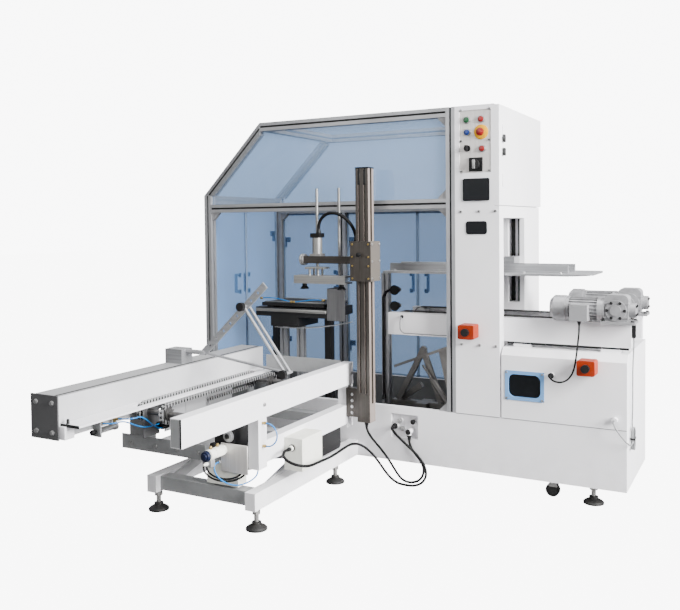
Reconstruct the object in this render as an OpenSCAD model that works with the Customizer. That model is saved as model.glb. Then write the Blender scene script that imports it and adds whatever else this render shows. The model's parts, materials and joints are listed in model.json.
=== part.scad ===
/* [Base] */
// Length of the base along the case path
base_l = 2240; // [2150:10:2400]
// Depth of the base under the guard
base_d = 760; // [740:10:860]
// Depth of the base under the outfeed
outfeed_d = 560; // [530:10:640]
// Height of the base's underside over the floor
base_z = 85; // [75:1:110]
// Height of the base's walls
base_h = 268; // [240:1:320]
// Thickness of the base's folded walls and floor pan
wall_t = 30; // [20:1:40]
// Socket recess, its width and height
socket_size = [143, 117]; // [80:1:200]
// Socket recess, its lower left corner along X and over the base's underside
socket_at = [1131, 116]; // [60:1:1300]
// Diameter of the round connectors in the recess
socket_d = 30; // [22:1:34]

/* [Feet] */
// Diameter of a levelling foot
foot_d = 90; // [60:1:110]
// Diameter of a foot's threaded stem
foot_stem_d = 20; // [12:1:26]
// Distance of the base's feet from its ends
foot_inset = 150; // [100:5:220]
// Distance of the base's feet from its front and back
foot_margin = 63; // [50:1:90]
// Diameter of a caster's wheel
caster_d = 62; // [50:1:70]
// Distance of a caster from the foot beside it
caster_step = 180; // [140:5:240]

/* [Outfeed housing] */
// Left end of the housing along X
outfeed_x = 1690; // [1690:5:1760]
// Height of the housing over the base
outfeed_h = 324; // [280:1:360]
// Height of the housing's sloped lip
lip_h = 32; // [20:1:45]
// Side window, its width and height
window_size = [179, 135]; // [100:1:200]
// Side window, its centre along X from the housing's left end and over the base
window_at = [107, 156]; // [100:1:200]
// Width of the bezel round the side window
bezel_w = 16; // [8:1:24]
// Diameter of a cable gland
gland_d = 24; // [18:1:28]
// Reach of a cable gland
gland_l = 20; // [12:1:26]
// Stop box, its width, height and depth
stop_box = [76, 66, 76]; // [50:1:90]
// Distance of the outfeed's stop box from the housing's right end
stop_box_inset = 196; // [150:1:260]
// Heights over the base of the stop boxes on the column and the housing
stop_box_h = [363, 236]; // [150:1:420]
// Diameter of a stop knob
stop_knob_d = 36; // [28:1:44]

/* [Column] */
// Width of the column
column_w = 213; // [190:1:240]
// Left face of the column along X
column_x = 1470; // [1440:1:1475]
// Height of the column over the base
column_h = 975; // [940:1:1020]
// Depth of the column's front leg
leg_d = 64; // [50:1:80]
// Front face of the column's rear leg along Y
rear_leg_y = 419; // [400:1:440]
// Distance of the rear leg's back from the cabinet's back
rear_leg_inset = 37; // [20:1:60]
// Height of the header over the case tunnel
header_h = 55; // [40:1:70]
// Width of the slot that guides the press plate
slot_w = 60; // [40:1:80]
// Depth of that slot
slot_d = 55; // [40:1:80]

/* [Cabinet] */
// Height of the control cabinet
cabinet_h = 467; // [440:1:500]
// Distance of the cabinet's back from the base's back
cabinet_back = 20; // [10:1:40]
// Thickness of the cabinet's side door
cabinet_door_t = 20; // [14:1:28]
// Control plate, its width and height
plate_size = [152, 290]; // [130:1:300]
// Touch screen, its width and height
screen_size = [128, 104]; // [80:1:150]

/* [Guard] */
// Side of the square guard profile
profile = 45; // [40:1:50]
// Width of the profile's slots
groove_w = 10; // [6:1:12]
// Depth of the profile's slots
groove_d = 9; // [4:1:12]
// Height of the guard's middle rail over the base
mid_rail_h = 969; // [900:1:1000]
// Run of the guard's sloped corner
slope_run = 375; // [300:5:420]
// Rise of the guard's sloped corner
slope_rise = 378; // [340:1:390]
// Back door post along X, from the guard's left end to its middle
back_post_x = 480; // [420:5:560]
// Thickness of the clear sheets
sheet_t = 8; // [5:0.5:10]
// Gap round a door leaf
door_gap = 6; // [5:0.5:9]
// Handle, its length, its stand-off and its thickness
handle_size = [112, 38, 14]; // [10:1:140]
// Height of the door handles over the base
handle_h = 548; // [400:1:700]

/* [Conveyor] */
// Left end of the conveyor beams along X
beam_x = 1090; // [1060:5:1150]
// Thickness of a conveyor beam
beam_t = 45; // [35:1:55]
// Thickness of a conveyor beam's web
beam_web = 6; // [4:1:10]
// Height of a conveyor beam
beam_h = 108; // [90:1:120]
// Gap between the housing and the beams, filled by their feet
beam_lift = 23; // [15:1:35]
// Width of a case belt
belt_w = 40; // [25:1:60]
// Thickness of a case belt
belt_t = 5; // [3:0.5:8]
// Height by which the belts stand over the beams
belt_rise = 7; // [3:1:12]
// Diameter of a belt drum
drum_d = 66; // [50:1:76]
// Diameter of a drive motor's body
motor_d = 110; // [90:1:120]
// Length of a drive motor with its cowl
motor_l = 222; // [180:1:260]
// Gearbox, its length, width and height
gearbox_size = [142, 104, 126]; // [90:1:160]
// Cooling fins of a drive motor
motor_fins = 20; // [12:2:28]
// Terminal box of a drive motor, its length, height and depth
terminal_size = [75, 70, 48]; // [30:1:90]

/* [Press plate] */
// Left end of the press plate along X
press_x = 1058; // [1020:1:1100]
// Length of the press plate
press_l = 1008; // [900:1:1040]
// Height of the press plate over the beams
press_lift = 197; // [190:1:230]
// Thickness of the press plate
press_t = 10; // [6:1:14]
// Height of its edge bars
press_bar_h = 36; // [20:1:45]
// Gap beside the press plate in the tunnel
press_gap = 8; // [6:1:14]

/* [Magazine] */
// Left face of the guide beam along X
guide_x = 210; // [190:5:240]
// Width of the guide beam
guide_w = 140; // [110:1:150]
// Height of the guide beam
guide_h = 167; // [140:1:180]
// Height of the guide beam's underside over the floor
guide_z = 427; // [410:1:445]
// Near end of the guide beam, in front of the base
guide_l = 1380; // [1200:10:1450]
// Reach of the guide beam behind the base's front
guide_in = 40; // [20:1:80]
// Width of the guide plate's flange
flange_w = 100; // [80:1:110]
// Thickness of the guide plate
flange_t = 8; // [4:0.5:10]
// Right face of the side rail along X
side_rail_x = 955; // [940:1:970]
// Thickness of the side rail
side_rail_t = 50; // [40:1:60]
// Height of the side rail
side_rail_h = 106; // [90:1:120]
// Near end of the side rail, in front of the base
side_rail_l = 1376; // [1200:1:1450]
// Far end of the side rail, in front of the base
side_rail_end = 64; // [50:1:90]

/* [Feed chains] */
// Pitch of the chain
chain_pitch = 19.05; // [18:0.05:20]
// Height of the chain's link plates
link_h = 16; // [14:1:18]
// Thickness of a link plate
link_t = 2; // [1.5:0.5:2.5]
// Diameter of a chain roller
roller_d = 12; // [10:0.5:13]
// Width of a chain roller
roller_w = 12; // [10:0.5:14]
// Diameter of a chain pin
pin_d = 6; // [4:0.5:7]
// Teeth of a sprocket
sprocket_teeth = 12; // [10:2:12]
// Links in a straight run of the chain
run_links = 42; // [38:2:42]
// Near sprockets, in front of the base
chain_near = 950; // [930:1:1000]
// Diameter of a chain shaft
shaft_d = 25; // [20:1:30]
// Distance of the inner chain from the outer one
chain_step = 125; // [100:1:180]

/* [Stand] */
// Left post of the stand along X, its middle
stand_left = 400; // [385:1:415]
// Square bar of the stand
stand_bar = 50; // [40:1:60]
// Height of the stand's bottom rails over the floor
stand_z = 88; // [78:1:100]
// Height of the stand's bottom rails
stand_rail_h = 74; // [50:1:90]
// Reach of the stand in front of the base
stand_l = 915; // [880:1:960]
// Distance of the near posts from the stand's near end
post_inset = 62; // [50:1:75]
// Far posts, in front of the base
post_far = 80; // [70:1:100]
// Width of a post along the magazine
post_w = 60; // [45:1:70]
// Height of the posts' lower ends over the stand's rails
post_lift = 88; // [80:1:100]
// Height of a crossmember
cross_h = 45; // [35:1:50]
// Height of the frame beam between the right posts
skirt_h = 92; // [80:1:110]
// Width of a scissor arm
arm_w = 44; // [30:1:46]
// Thickness of a scissor arm
arm_t = 12; // [8:1:16]
// Junction box, its depth, length and height
junction_size = [90, 170, 140]; // [60:1:200]
// Near end of the junction box, in front of the base
junction_near = 690; // [640:5:720]
// Chain motor, its gear case's side and its body's diameter and length
lift_motor_size = [100, 90, 150]; // [60:1:180]
// Distance of the chain motor's gear case from the right posts
lift_motor_in = 180; // [150:5:220]

/* [Stack stop] */
// Stack stop, in front of the base
stop_y = 550; // [480:5:620]
// Width of the slotted bar
stop_bar_w = 34; // [24:1:40]
// Thickness of the slotted bar
stop_bar_t = 8; // [5:1:12]
// Rise of the slotted bar
stop_rise = 330; // [280:1:360]
// Run of the slotted bar
stop_run = 352; // [300:1:380]
// Holes along the slotted bar
stop_holes = 8; // [4:1:9]
// Diameter of those holes
stop_hole_d = 14; // [8:1:18]
// Diameter of the twin rods
stop_rod_d = 14; // [10:1:18]

/* [Pick head] */
// Left face of the mast along X
mast_x = 1012; // [1000:1:1040]
// Width of the mast
mast_w = 68; // [55:1:75]
// Depth of the mast
mast_d = 60; // [50:1:70]
// Middle of the mast, in front of the base
mast_y = 100; // [90:1:110]
// Height of the mast's foot over the floor
mast_z = 290; // [270:1:300]
// Top of the mast over the floor
mast_top = 1518; // [1480:1:1540]
// Height of the carriage's underside over the floor
carriage_z = 976; // [960:1:1000]
// Height of the carriage
carriage_h = 192; // [160:1:220]
// Wall of the carriage
carriage_t = 22; // [16:1:28]
// Length of the arm left of the carriage
arm_l = 290; // [260:1:320]
// Height of the arm
arm_h = 36; // [28:1:44]
// Diameter of the suction bar's guide rods
rod_d = 14; // [10:1:18]
// Running clearance of rods, saddles and tongues
fit = 0.3; // [0.2:0.05:0.4]
// Length of the suction bar
suction_l = 291; // [260:1:310]
// Height of the suction bar
suction_h = 40; // [30:1:46]
// Length of the rods over the suction bar
rod_l = 432; // [400:1:450]
// Diameter of a suction cup
cup_d = 44; // [30:1:50]

/* [Former] */
// Table inside the guard, its length, depth and thickness
table_size = [464, 300, 50]; // [40:1:480]
// Table's left end along X and its front along Y
table_at = [200, 200]; // [195:1:260]
// Blank guide beside the table, its width and height
blank_guide = [110, 175]; // [80:1:200]
// Height of the table's underside over the base
table_h = 387; // [340:1:420]
// Inner post, its middle along X and Y
inner_post_at = [995, 250]; // [240:1:1010]
// Height of the inner post's top over the base
inner_post_h = 640; // [600:1:645]
// Distance along X from the inner post to the folders' pivot
folder_step = 214; // [190:1:230]
// Side of the square bars inside the guard
inner_bar = 40; // [30:1:45]
// Diameter of the suction units on the inner post
unit_d = 52; // [40:1:54]
// Heights of those units over the base
unit_h = [472, 555]; // [400:1:560]
// Reach of those units from the inner post
unit_reach = 47; // [40:1:60]
// Distance of the skid's middle from the table's left end
skid_in = 200; // [180:5:220]
// Radius of the bent skid under the table
skid_r = 1700; // [1400:10:2200]

/* [Cords] */
// Diameter of the stand's and the mast's leads
lead_d = 12; // [10:0.5:14]
// Diameter of the motor's lead
motor_lead_d = 8; // [6:0.5:10]
// Diameter of the sensor's lead
sensor_lead_d = 6; // [5:0.5:7]
// Diameter of the vacuum hose
hose_d = 16; // [12:0.5:20]
// Diameter of the air tube
air_tube_d = 6; // [4:0.5:8]
// Radius of the sensor hank's folds, at the middle of the lead
hank_r = 16.5; // [14:0.5:18]
// Distance between the middles of those folds
hank_run = 63; // [50:1:80]

/* [Hidden] */
$fn = 48;

white = [0.92, 0.93, 0.94];
pale_grey = [0.78, 0.79, 0.80];
aluminium = [0.72, 0.73, 0.75];
nickel = [0.62, 0.59, 0.55];
dark_grey = [0.30, 0.31, 0.33];
black = [0.08, 0.08, 0.09];
orange = [0.90, 0.35, 0.12];
clear_blue = [0.55, 0.66, 0.80, 0.6];

deck = base_z + base_h;
cabinet_z = deck + column_h;
guard_top = cabinet_z + cabinet_h;
guard_r = column_x;
cabinet_d = base_d - cabinet_back;
slope_z = guard_top - slope_rise;
slope_x = slope_run;
slope_len = sqrt(slope_run * slope_run + slope_rise * slope_rise);
slope_cut_x = profile * slope_len / slope_rise;
slope_cut_z = profile * slope_len / slope_run;
mid_z = deck + mid_rail_h;
side_rail_top = slope_z;
beam_z = deck + outfeed_h + beam_lift;
beam_top = beam_z + beam_h;
beam_end = base_l + 8;
front_beam_y = leg_d;
rear_beam_y = rear_leg_y - beam_t;
rear_leg_d = cabinet_d - rear_leg_inset - rear_leg_y;
press_z = beam_top + press_lift;
press_y0 = leg_d + press_gap;
press_y1 = rear_leg_y - press_gap;
slot_x = column_x + column_w - slot_w - 24;
flange_z = guide_z + 52;
flange_x = guide_x + guide_w;
side_rail_z = guide_z + 36;
rail_in = side_rail_x - side_rail_t;
post_right = side_rail_x - stand_bar - 10;
post_near = stand_l - post_inset;
post_mid = (post_near + post_far) / 2;
stand_top = stand_z + stand_rail_h;
post_z = stand_top + post_lift;
cross_z = post_z + 5;
cross_top = cross_z + cross_h;
skirt_z = post_z + 20;
post_pitch_y = [-post_near, -post_far];
sprocket_r = chain_pitch / (2 * sin(180 / sprocket_teeth));
chain_far = chain_near - run_links * chain_pitch;
chain_links = 2 * run_links + sprocket_teeth;
chain_z = flange_z + flange_t - sprocket_r + 4;
chain_x = flange_x + flange_w / 2;
arm_z = carriage_z + 100;
arm_x0 = mast_x - carriage_t - arm_l;
pan_top = base_z + wall_t;
table_z = deck + table_h;
folder_x = inner_post_at[0] + folder_step;
plug_bend = [socket_at[0] + 101, -10, base_z + socket_at[1] + 38];
head_y = -mast_y;
handle_off = handle_size[1];
hinge_r = 8;
hinge_off = 9;
hinge_pin_r = 4;
hinge_len = 32;
cabinet_right = column_x + column_w - cabinet_door_t - 3;
gear_x = beam_end + 22 - gearbox_size[0];
motor_z = beam_top + 12 + gearbox_size[2] / 2 - 16;
motor_y = [front_beam_y - 8, rear_leg_y + 8];
x_min = -hinge_off - hinge_r;
x_max = gear_x + gearbox_size[0];
y_min = -guide_l - 6;
y_max = base_d + handle_off;
centre = [(min(x_min, -handle_off) + x_max) / 2, (y_min + y_max) / 2, 0];

module centred() {
  translate(-centre) children();
}

module block(x, y, z) {
  translate([x[0], y[0], z[0]]) cube([x[1] - x[0], y[1] - y[0], z[1] - z[0]]);
}

// square guard profile with a slot in each face, standing on its end at the origin
module profile_bar(len) {
  linear_extrude(len) difference() {
    square(profile, center = true);
    for (turn = [0:3])
      rotate(turn * 90) translate([profile / 2 - groove_d, -groove_w / 2]) square([groove_d + 1, groove_w]);
  }
}

module profile_x(x0, x1, y, z) {
  translate([x0, y + profile / 2, z + profile / 2]) rotate([0, 90, 0]) profile_bar(x1 - x0);
}

module profile_y(x, y0, y1, z) {
  translate([x + profile / 2, y1, z + profile / 2]) rotate([90, 0, 0]) profile_bar(y1 - y0);
}

module profile_z(x, y, z0, z1) {
  translate([x + profile / 2, y + profile / 2, z0]) profile_bar(z1 - z0);
}

// a shape drawn in the XZ plane, made solid from y0 back to y1
module upright(y0, y1) {
  translate([0, y1, 0]) rotate([90, 0, 0]) linear_extrude(y1 - y0) children();
}

// a shape drawn in the YZ plane, made solid from x0 to x1
module sideways(x0, x1) {
  translate([x0, 0, 0]) rotate([90, 0, 90]) linear_extrude(x1 - x0) children();
}

module rounded(size, r) {
  for (x = [r, size[0] - r], y = [r, size[1] - r]) translate([x, y]) circle(r);
  translate([r, 0]) square([size[0] - 2 * r, size[1]]);
  translate([0, r]) square([size[0], size[1] - 2 * r]);
}

module base_walls() {
  back = wall_t - 4;
  color(white) centred() {
    difference() {
      block([0, base_l], [0, wall_t], [base_z, deck]);
      translate([socket_at[0], -1, base_z + socket_at[1]]) cube([socket_size[0], back + 1, socket_size[1]]);
    }
    for (at = [[19, 53, 18], [58, 46, 12], [46, 82, 14], [116, 84, 14]])
      translate([socket_at[0] + at[0], back, base_z + socket_at[1] + at[1]])
        rotate([90, 0, 0]) cylinder(h = at[2], d = at[2] == 18 ? socket_d : socket_d - 8);
    translate([plug_bend[0], back, plug_bend[2]]) rotate([90, 0, 0]) cylinder(h = back + 22, d = socket_d - 4);
    translate(plug_bend - [0, 0, 17]) cylinder(h = 17, d = socket_d - 8);
    block([0, outfeed_x], [base_d - wall_t, base_d], [base_z, deck]);
  }
}

module base_body() {
  color(white) centred() {
    block([0, wall_t], [wall_t, base_d - wall_t], [base_z, deck]);
    block([wall_t, column_x], [wall_t, base_d - wall_t], [base_z, base_z + wall_t]);
    translate([0, 0, base_z]) linear_extrude(base_h) polygon([
      [column_x, wall_t], [base_l, wall_t], [base_l, outfeed_d],
      [outfeed_x, outfeed_d], [outfeed_x, base_d - wall_t], [column_x, base_d - wall_t]]);
  }
}

module outfeed_housing() {
  top = deck + outfeed_h;
  color(white) centred() difference() {
    sideways(outfeed_x, base_l) polygon([
      [0, deck], [outfeed_d, deck], [outfeed_d, top], [lip_h, top], [0, top - lip_h]]);
    translate([outfeed_x + window_at[0] - window_size[0] / 2, -1, deck + window_at[1] - window_size[1] / 2])
      cube([window_size[0], 13, window_size[1]]);
  }
  color(white) centred()
    for (y = [front_beam_y, rear_beam_y], x = [outfeed_x + 40, base_l - 120])
      block([x, x + 80], [y, y + beam_t], [top, beam_z]);
  color(white) centred() for (at = [[outfeed_x + 232, deck + 217], [base_l - 49, deck + 44]])
    translate([at[0], 0, at[1]]) rotate([90, 0, 0]) cylinder(h = gland_l, d = gland_d);
}

module window_bezel() {
  w = window_size;
  color([0.70, 0.76, 0.82]) centred()
    translate([outfeed_x + window_at[0] - w[0] / 2, 0, deck + window_at[1] - w[1] / 2])
      upright(-3, 6) difference() {
        rounded(w, 10);
        translate([bezel_w, bezel_w]) rounded([w[0] - 2 * bezel_w, w[1] - 2 * bezel_w], 28);
      }
}

module dark_windows() {
  w = window_size;
  color(black) centred() {
    translate([outfeed_x + window_at[0] - w[0] / 2, 0, deck + window_at[1] - w[1] / 2])
      upright(6, 12) rounded(w, 10);
    translate([column_x + 54, 0, cabinet_z - 130]) upright(-3, 0) rounded([101, 61], 12);
    translate([column_x + 40, 0, cabinet_z + 25]) upright(-6, 0) rounded(screen_size, 8);
  }
}

module levelling_foot(top) {
  r = foot_d / 2;
  neck = foot_stem_d / 2;
  rotate_extrude() polygon([
    [0, 0], [r, 0], [r, 7], [r - 5, 12], [0.62 * r, 19], [0.44 * r, 23], [0.44 * r, 32],
    [neck, 32], [neck, top], [0, top]]);
  translate([0, 0, top - 24]) cylinder(h = 14, d = 1.8 * foot_stem_d, $fn = 6);
}

module levelling_feet() {
  color(dark_grey) centred() {
    for (x = [foot_inset, base_l - foot_inset], y = [foot_margin, outfeed_d - foot_margin])
      translate([x, y, 0]) levelling_foot(base_z);
    for (x = [stand_left, post_right + stand_bar / 2], y = [foot_d / 2 - stand_l, -foot_inset - foot_d / 2])
      translate([x, y, 0]) levelling_foot(stand_z);
  }
}

module caster() {
  wheel_z = caster_d / 2 + 4;
  translate([0, 0, wheel_z]) rotate([90, 0, 0]) cylinder(h = 24, d = caster_d, center = true);
  translate([0, 0, wheel_z]) rotate([90, 0, 0]) cylinder(h = 40, d = 12, center = true);
  for (side = [-1, 1])
    translate([-12, side * 18 - 2, wheel_z - 10]) cube([34, 4, base_z - wheel_z + 4]);
  translate([-14, -20, base_z - 10]) cube([44, 40, 10]);
}

module casters() {
  color(dark_grey) centred()
    for (x = [foot_inset + caster_step, base_l - foot_inset - caster_step],
         y = [foot_margin, outfeed_d - foot_margin])
      translate([x, y, 0]) caster();
}

module column_front() {
  color(white) centred() block([column_x, column_x + column_w], [0, leg_d], [deck, cabinet_z]);
}

module column_back() {
  color(white) centred() difference() {
    block([column_x, column_x + column_w], [rear_leg_y, rear_leg_y + rear_leg_d], [deck, cabinet_z - header_h]);
    block([slot_x, slot_x + slot_w], [rear_leg_y - 1, rear_leg_y + slot_d], [beam_top + 40, cabinet_z - header_h + 1]);
  }
}

module control_cabinet() {
  px = column_x + 23;
  pz = cabinet_z + 155;
  color(white) centred() difference() {
    union() {
      block([column_x, cabinet_right], [0, cabinet_d], [cabinet_z, guard_top]);
      block([column_x, column_x + column_w], [leg_d, rear_leg_y + rear_leg_d], [cabinet_z - header_h, cabinet_z]);
    }
    block([px, px + plate_size[0]], [-1, 6], [pz, pz + plate_size[1]]);
  }
}

module control_plate() {
  px = column_x + 23;
  pz = cabinet_z + 155;
  color(pale_grey) centred() block([px, px + plate_size[0]], [3, 6], [pz, pz + plate_size[1]]);
}

module button(x, z, d, h) {
  translate([column_x + x, 3, cabinet_z + z]) rotate([90, 0, 0]) cylinder(h = h, d = d);
}

module push_buttons() {
  color([0.75, 0.12, 0.12]) centred() {
    for (at = [[59, 400], [129, 400], [61, 343], [133, 265]]) {
      button(at[0], at[1], 30, 9);
      button(at[0], at[1], 22, 13);
    }
    button(128, 341, 58, 4);
    button(128, 341, 30, 18);
    button(128, 341, 40, 24);
  }
}

module black_knobs() {
  color(black) centred() {
    button(61, 269, 30, 8);
    translate([column_x + 56, -23, cabinet_z + 256]) cube([10, 20, 26]);
    translate([column_x + 70, -3, cabinet_z + 161]) cube([64, 6, 64]);
    button(102, 193, 44, 30);
    for (at = stop_box_at)
      translate([at[0] + stop_box[0] / 2, -stop_box[2], at[1] + stop_box[1] / 2])
        rotate([90, 0, 0]) cylinder(h = 16, d = stop_knob_d);
    for (at = [stop_pivot, stop_toe])
      translate([at[0], -stop_y - stop_pin_l / 2, at[1]]) rotate([90, 0, 0]) cylinder(h = 20, d = 40);
    block([mast_x - 1, mast_x + mast_w + 1], [head_y - mast_d / 2 - 1, head_y + mast_d / 2 + 1],
          [mast_top, mast_top + 6]);
    block([beam_end, beam_end + 14], [front_beam_y + 6, front_beam_y + 36], [beam_z + 45, beam_top - 1]);
    for (z = unit_h) translate([unit_x, inner_post_at[1] - 10, deck + z]) rotate([90, 0, 0]) {
      cylinder(h = 20, d = 0.7 * unit_d);
      translate([0, 0, 20]) cylinder(h = 16, d1 = 0.7 * unit_d, d2 = unit_d);
    }
  }
}

stop_box_at = [
  [column_x + 37, deck + stop_box_h[0]],
  [base_l - stop_box_inset, deck + stop_box_h[1]]];

module stop_boxes() {
  color(orange) centred() for (at = stop_box_at)
    translate([at[0], 0, at[1]]) upright(-stop_box[2], 0) rounded([stop_box[0], stop_box[1]], 8);
}

module enclosure_posts() {
  back = base_d - profile;
  color(aluminium) centred() {
    for (y = [0, back]) {
      profile_z(0, y, deck, slope_z);
      profile_z(guard_r - profile, y, deck, guard_top);
    }
    profile_z(back_post_x - profile / 2, back, deck, mid_z);
  }
}

module enclosure_rails() {
  color(aluminium) centred() for (y = [0, base_d - profile]) {
    profile_x(profile, guard_r - profile, y, mid_z);
    profile_x(slope_x, guard_r - profile, y, guard_top - profile);
  }
}

module enclosure_cross_rails() {
  color(aluminium) centred() {
    profile_y(0, profile, base_d - profile, side_rail_top - profile);
    for (x = [slope_x, guard_r - profile])
      profile_y(x, profile, base_d - profile, guard_top - profile);
  }
}

module enclosure_slopes() {
  color(aluminium) centred() for (y = [0, base_d - profile])
    upright(y, y + profile) polygon([
      [0, slope_z], [slope_cut_x, slope_z], [slope_x, guard_top - slope_cut_z], [slope_x, guard_top]]);
}

module upper_panes() {
  mid = mid_z + profile;
  top = guard_top - profile;
  inset = (profile - sheet_t) / 2;
  color(clear_blue) centred() {
    for (y = [inset, base_d - inset - sheet_t])
      upright(y, y + sheet_t) polygon([
        [profile, mid], [guard_r - profile, mid], [guard_r - profile, top], [slope_x, top],
        [slope_x, guard_top - slope_cut_z], [slope_cut_x, slope_z], [profile, slope_z]]);
    upright(profile, base_d - profile) polygon([
      [slope_cut_x / 2 - sheet_t, slope_z], [slope_cut_x / 2, slope_z],
      [slope_x, guard_top - slope_cut_z / 2 - sheet_t], [slope_x, guard_top - slope_cut_z / 2]]);
    block([slope_x + profile, guard_r - profile], [profile, base_d - profile],
          [top + inset, top + inset + sheet_t]);
  }
}

// a door leaf seen from outside, hinged along its left edge at the origin, outer face on Y = 0
module door_leaf(w, h, handle_x, handle_z) {
  translate([0, 0, 0]) cube([w, sheet_t, h]);
  translate([handle_x, 0, handle_z]) {
    for (z = [0, handle_size[0] - handle_size[2]])
      translate([-handle_size[2] / 2, -handle_off, z]) cube([handle_size[2], handle_off, handle_size[2]]);
    translate([-handle_size[2] / 2, -handle_off, 0]) cube([handle_size[2], handle_size[2], handle_size[0]]);
  }
  for (z = hinge_heights(h)) translate([-door_gap / 2, 0, z + hinge_len / 2 + fit]) {
    difference() {
      union() {
        translate([0, -hinge_off, 0]) cylinder(h = hinge_len, r = hinge_r);
        translate([0, -hinge_off, 0]) cube([door_gap / 2 + 30, hinge_off, hinge_len]);
      }
      translate([0, -hinge_off, -1]) cylinder(h = hinge_len + 2, r = hinge_pin_r + fit);
    }
  }
}

// the fixed half of a door's hinges, in the same place as door_leaf
module door_hinge_half(h) {
  for (z = hinge_heights(h)) translate([-door_gap / 2, -hinge_off, z - hinge_len / 2]) {
    cylinder(h = hinge_len, r = hinge_r);
    cylinder(h = 2 * hinge_len, r = hinge_pin_r);
    translate([-30, 0, 0]) cube([30, hinge_off, hinge_len]);
  }
}

function hinge_heights(h) = [0.14 * h, 0.8 * h];

// places a door drawn as seen from outside: the left side, the back, and the cabinet's right side
module on_left(y, z) {
  translate([0, y, z]) rotate(-90) children();
}

module on_back(x, z) {
  translate([x, base_d, z]) rotate(180) children();
}

module mirrored() {
  mirror([1, 0, 0]) children();
}

side_door_h = side_rail_top - profile - deck - 2 * door_gap;
side_door_w = (base_d - 2 * profile) / 2 - 1.5 * door_gap;
back_door_h = mid_z - deck - 2 * door_gap;
back_left_w = back_post_x - 1.5 * profile - 2 * door_gap;
back_pair_w = (guard_r - back_post_x - 1.5 * profile) / 2 - 1.5 * door_gap;
leaf_z = deck + door_gap;

module side_door_front() {
  color(clear_blue) centred() on_left(profile + door_gap, leaf_z)
    mirrored() door_leaf(side_door_w, side_door_h, side_door_w - 44, handle_h - handle_size[0] / 2);
}

module side_door_rear() {
  color(clear_blue) centred() on_left(base_d - profile - door_gap, leaf_z)
    door_leaf(side_door_w, side_door_h, side_door_w - 44, handle_h - handle_size[0] / 2);
}

module back_door_left() {
  color(clear_blue) centred() on_back(profile + door_gap, leaf_z)
    mirrored() door_leaf(back_left_w, back_door_h, back_left_w - 44, handle_h - handle_size[0] / 2);
}

module back_door_centre() {
  color(clear_blue) centred() on_back(back_post_x + profile / 2 + door_gap, leaf_z)
    mirrored() door_leaf(back_pair_w, back_door_h, back_pair_w - 44, handle_h - handle_size[0] / 2);
}

module back_door_right() {
  color(clear_blue) centred() on_back(guard_r - profile - door_gap, leaf_z)
    door_leaf(back_pair_w, back_door_h, back_pair_w - 44, handle_h - handle_size[0] / 2);
}

module door_hinges() {
  color(black) centred() {
    on_left(profile + door_gap, leaf_z) mirrored() door_hinge_half(side_door_h);
    on_left(base_d - profile - door_gap, leaf_z) door_hinge_half(side_door_h);
    on_back(profile + door_gap, leaf_z) mirrored() door_hinge_half(back_door_h);
    on_back(back_post_x + profile / 2 + door_gap, leaf_z) mirrored() door_hinge_half(back_door_h);
    on_back(guard_r - profile - door_gap, leaf_z) door_hinge_half(back_door_h);
  }
}

module cabinet_door() {
  color(white) centred() difference() {
    union() {
      block([cabinet_right + fit, column_x + column_w], [0, cabinet_d], [cabinet_z + 4, guard_top - 4]);
      for (z = [cabinet_z + 90, guard_top - 150])
        translate([column_x + column_w, 46, z]) upright(0, 26) square([4, 60]);
    }
    block([cabinet_right, cabinet_right + 6], [12, cabinet_d - 12], [cabinet_z + 30, guard_top - 30]);
  }
}

module conveyor_beams() {
  color(white) centred() for (y = [front_beam_y, rear_beam_y]) {
    inner = y == front_beam_y ? y + beam_web : y - 1;
    difference() {
      block([beam_x, beam_end], [y, y + beam_t], [beam_z, beam_top]);
      block([beam_x + 40, beam_end - 40], [inner, inner + beam_t - beam_web + 1], [beam_z + beam_web, beam_top - beam_web]);
    }
  }
}

belt_y = [front_beam_y + beam_t + 1, rear_beam_y - belt_w - 1];
drum_z = beam_top + belt_rise - belt_t - drum_d / 2;
drum_x = [beam_x + drum_d, beam_end - drum_d];

module side_belts() {
  color(black) centred() for (y = belt_y)
    translate([0, 0, drum_z]) upright(y, y + belt_w) difference() {
      loop_outline(drum_d / 2 + belt_t);
      loop_outline(drum_d / 2);
    }
}

module loop_outline(r) {
  for (x = drum_x) translate([x, 0]) circle(r);
  translate([drum_x[0], -r]) square([drum_x[1] - drum_x[0], 2 * r]);
}

module belt_drums() {
  color(aluminium) centred() for (y = belt_y, x = drum_x) {
    front = y == belt_y[0];
    near = front ? front_beam_y + beam_web : y;
    far = front ? y + belt_w : rear_leg_y - beam_web;
    translate([x, y + belt_w, drum_z]) rotate([90, 0, 0]) cylinder(h = belt_w, d = drum_d);
    translate([x, far, drum_z]) rotate([90, 0, 0]) cylinder(h = far - near, d = 24);
  }
}

// a finned motor along +Z, with its terminal box on the -Y side
module drive_motor() {
  cowl = 70;
  core = motor_d - 22;
  cylinder(h = motor_l - cowl, d = core);
  cylinder(h = 16, d = motor_d - 6);
  translate([0, 0, motor_l - cowl - 14]) cylinder(h = 14, d = motor_d - 6);
  for (k = [1:motor_fins]) rotate(360 * (k - 0.5) / motor_fins)
    translate([core / 2 - 6, -1.5, 10]) cube([13, 3, motor_l - cowl - 18]);
  translate([0, 0, motor_l - cowl]) cylinder(h = cowl - 18, d = motor_d + 4);
  translate([0, 0, motor_l - 18]) cylinder(h = 18, d1 = motor_d + 4, d2 = motor_d - 30);
  translate([-47, -motor_d / 2 + 12 - terminal_size[2], 48])
    cube([terminal_size[1], terminal_size[2] + 20, terminal_size[0]]);
}

module drive_motors() {
  color(pale_grey) centred() {
    translate([gear_x, motor_y[0], motor_z]) rotate([0, -90, 0]) drive_motor();
    translate([gear_x, motor_y[1], motor_z]) rotate([0, -90, 0]) mirror([0, 1, 0]) drive_motor();
  }
}

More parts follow.
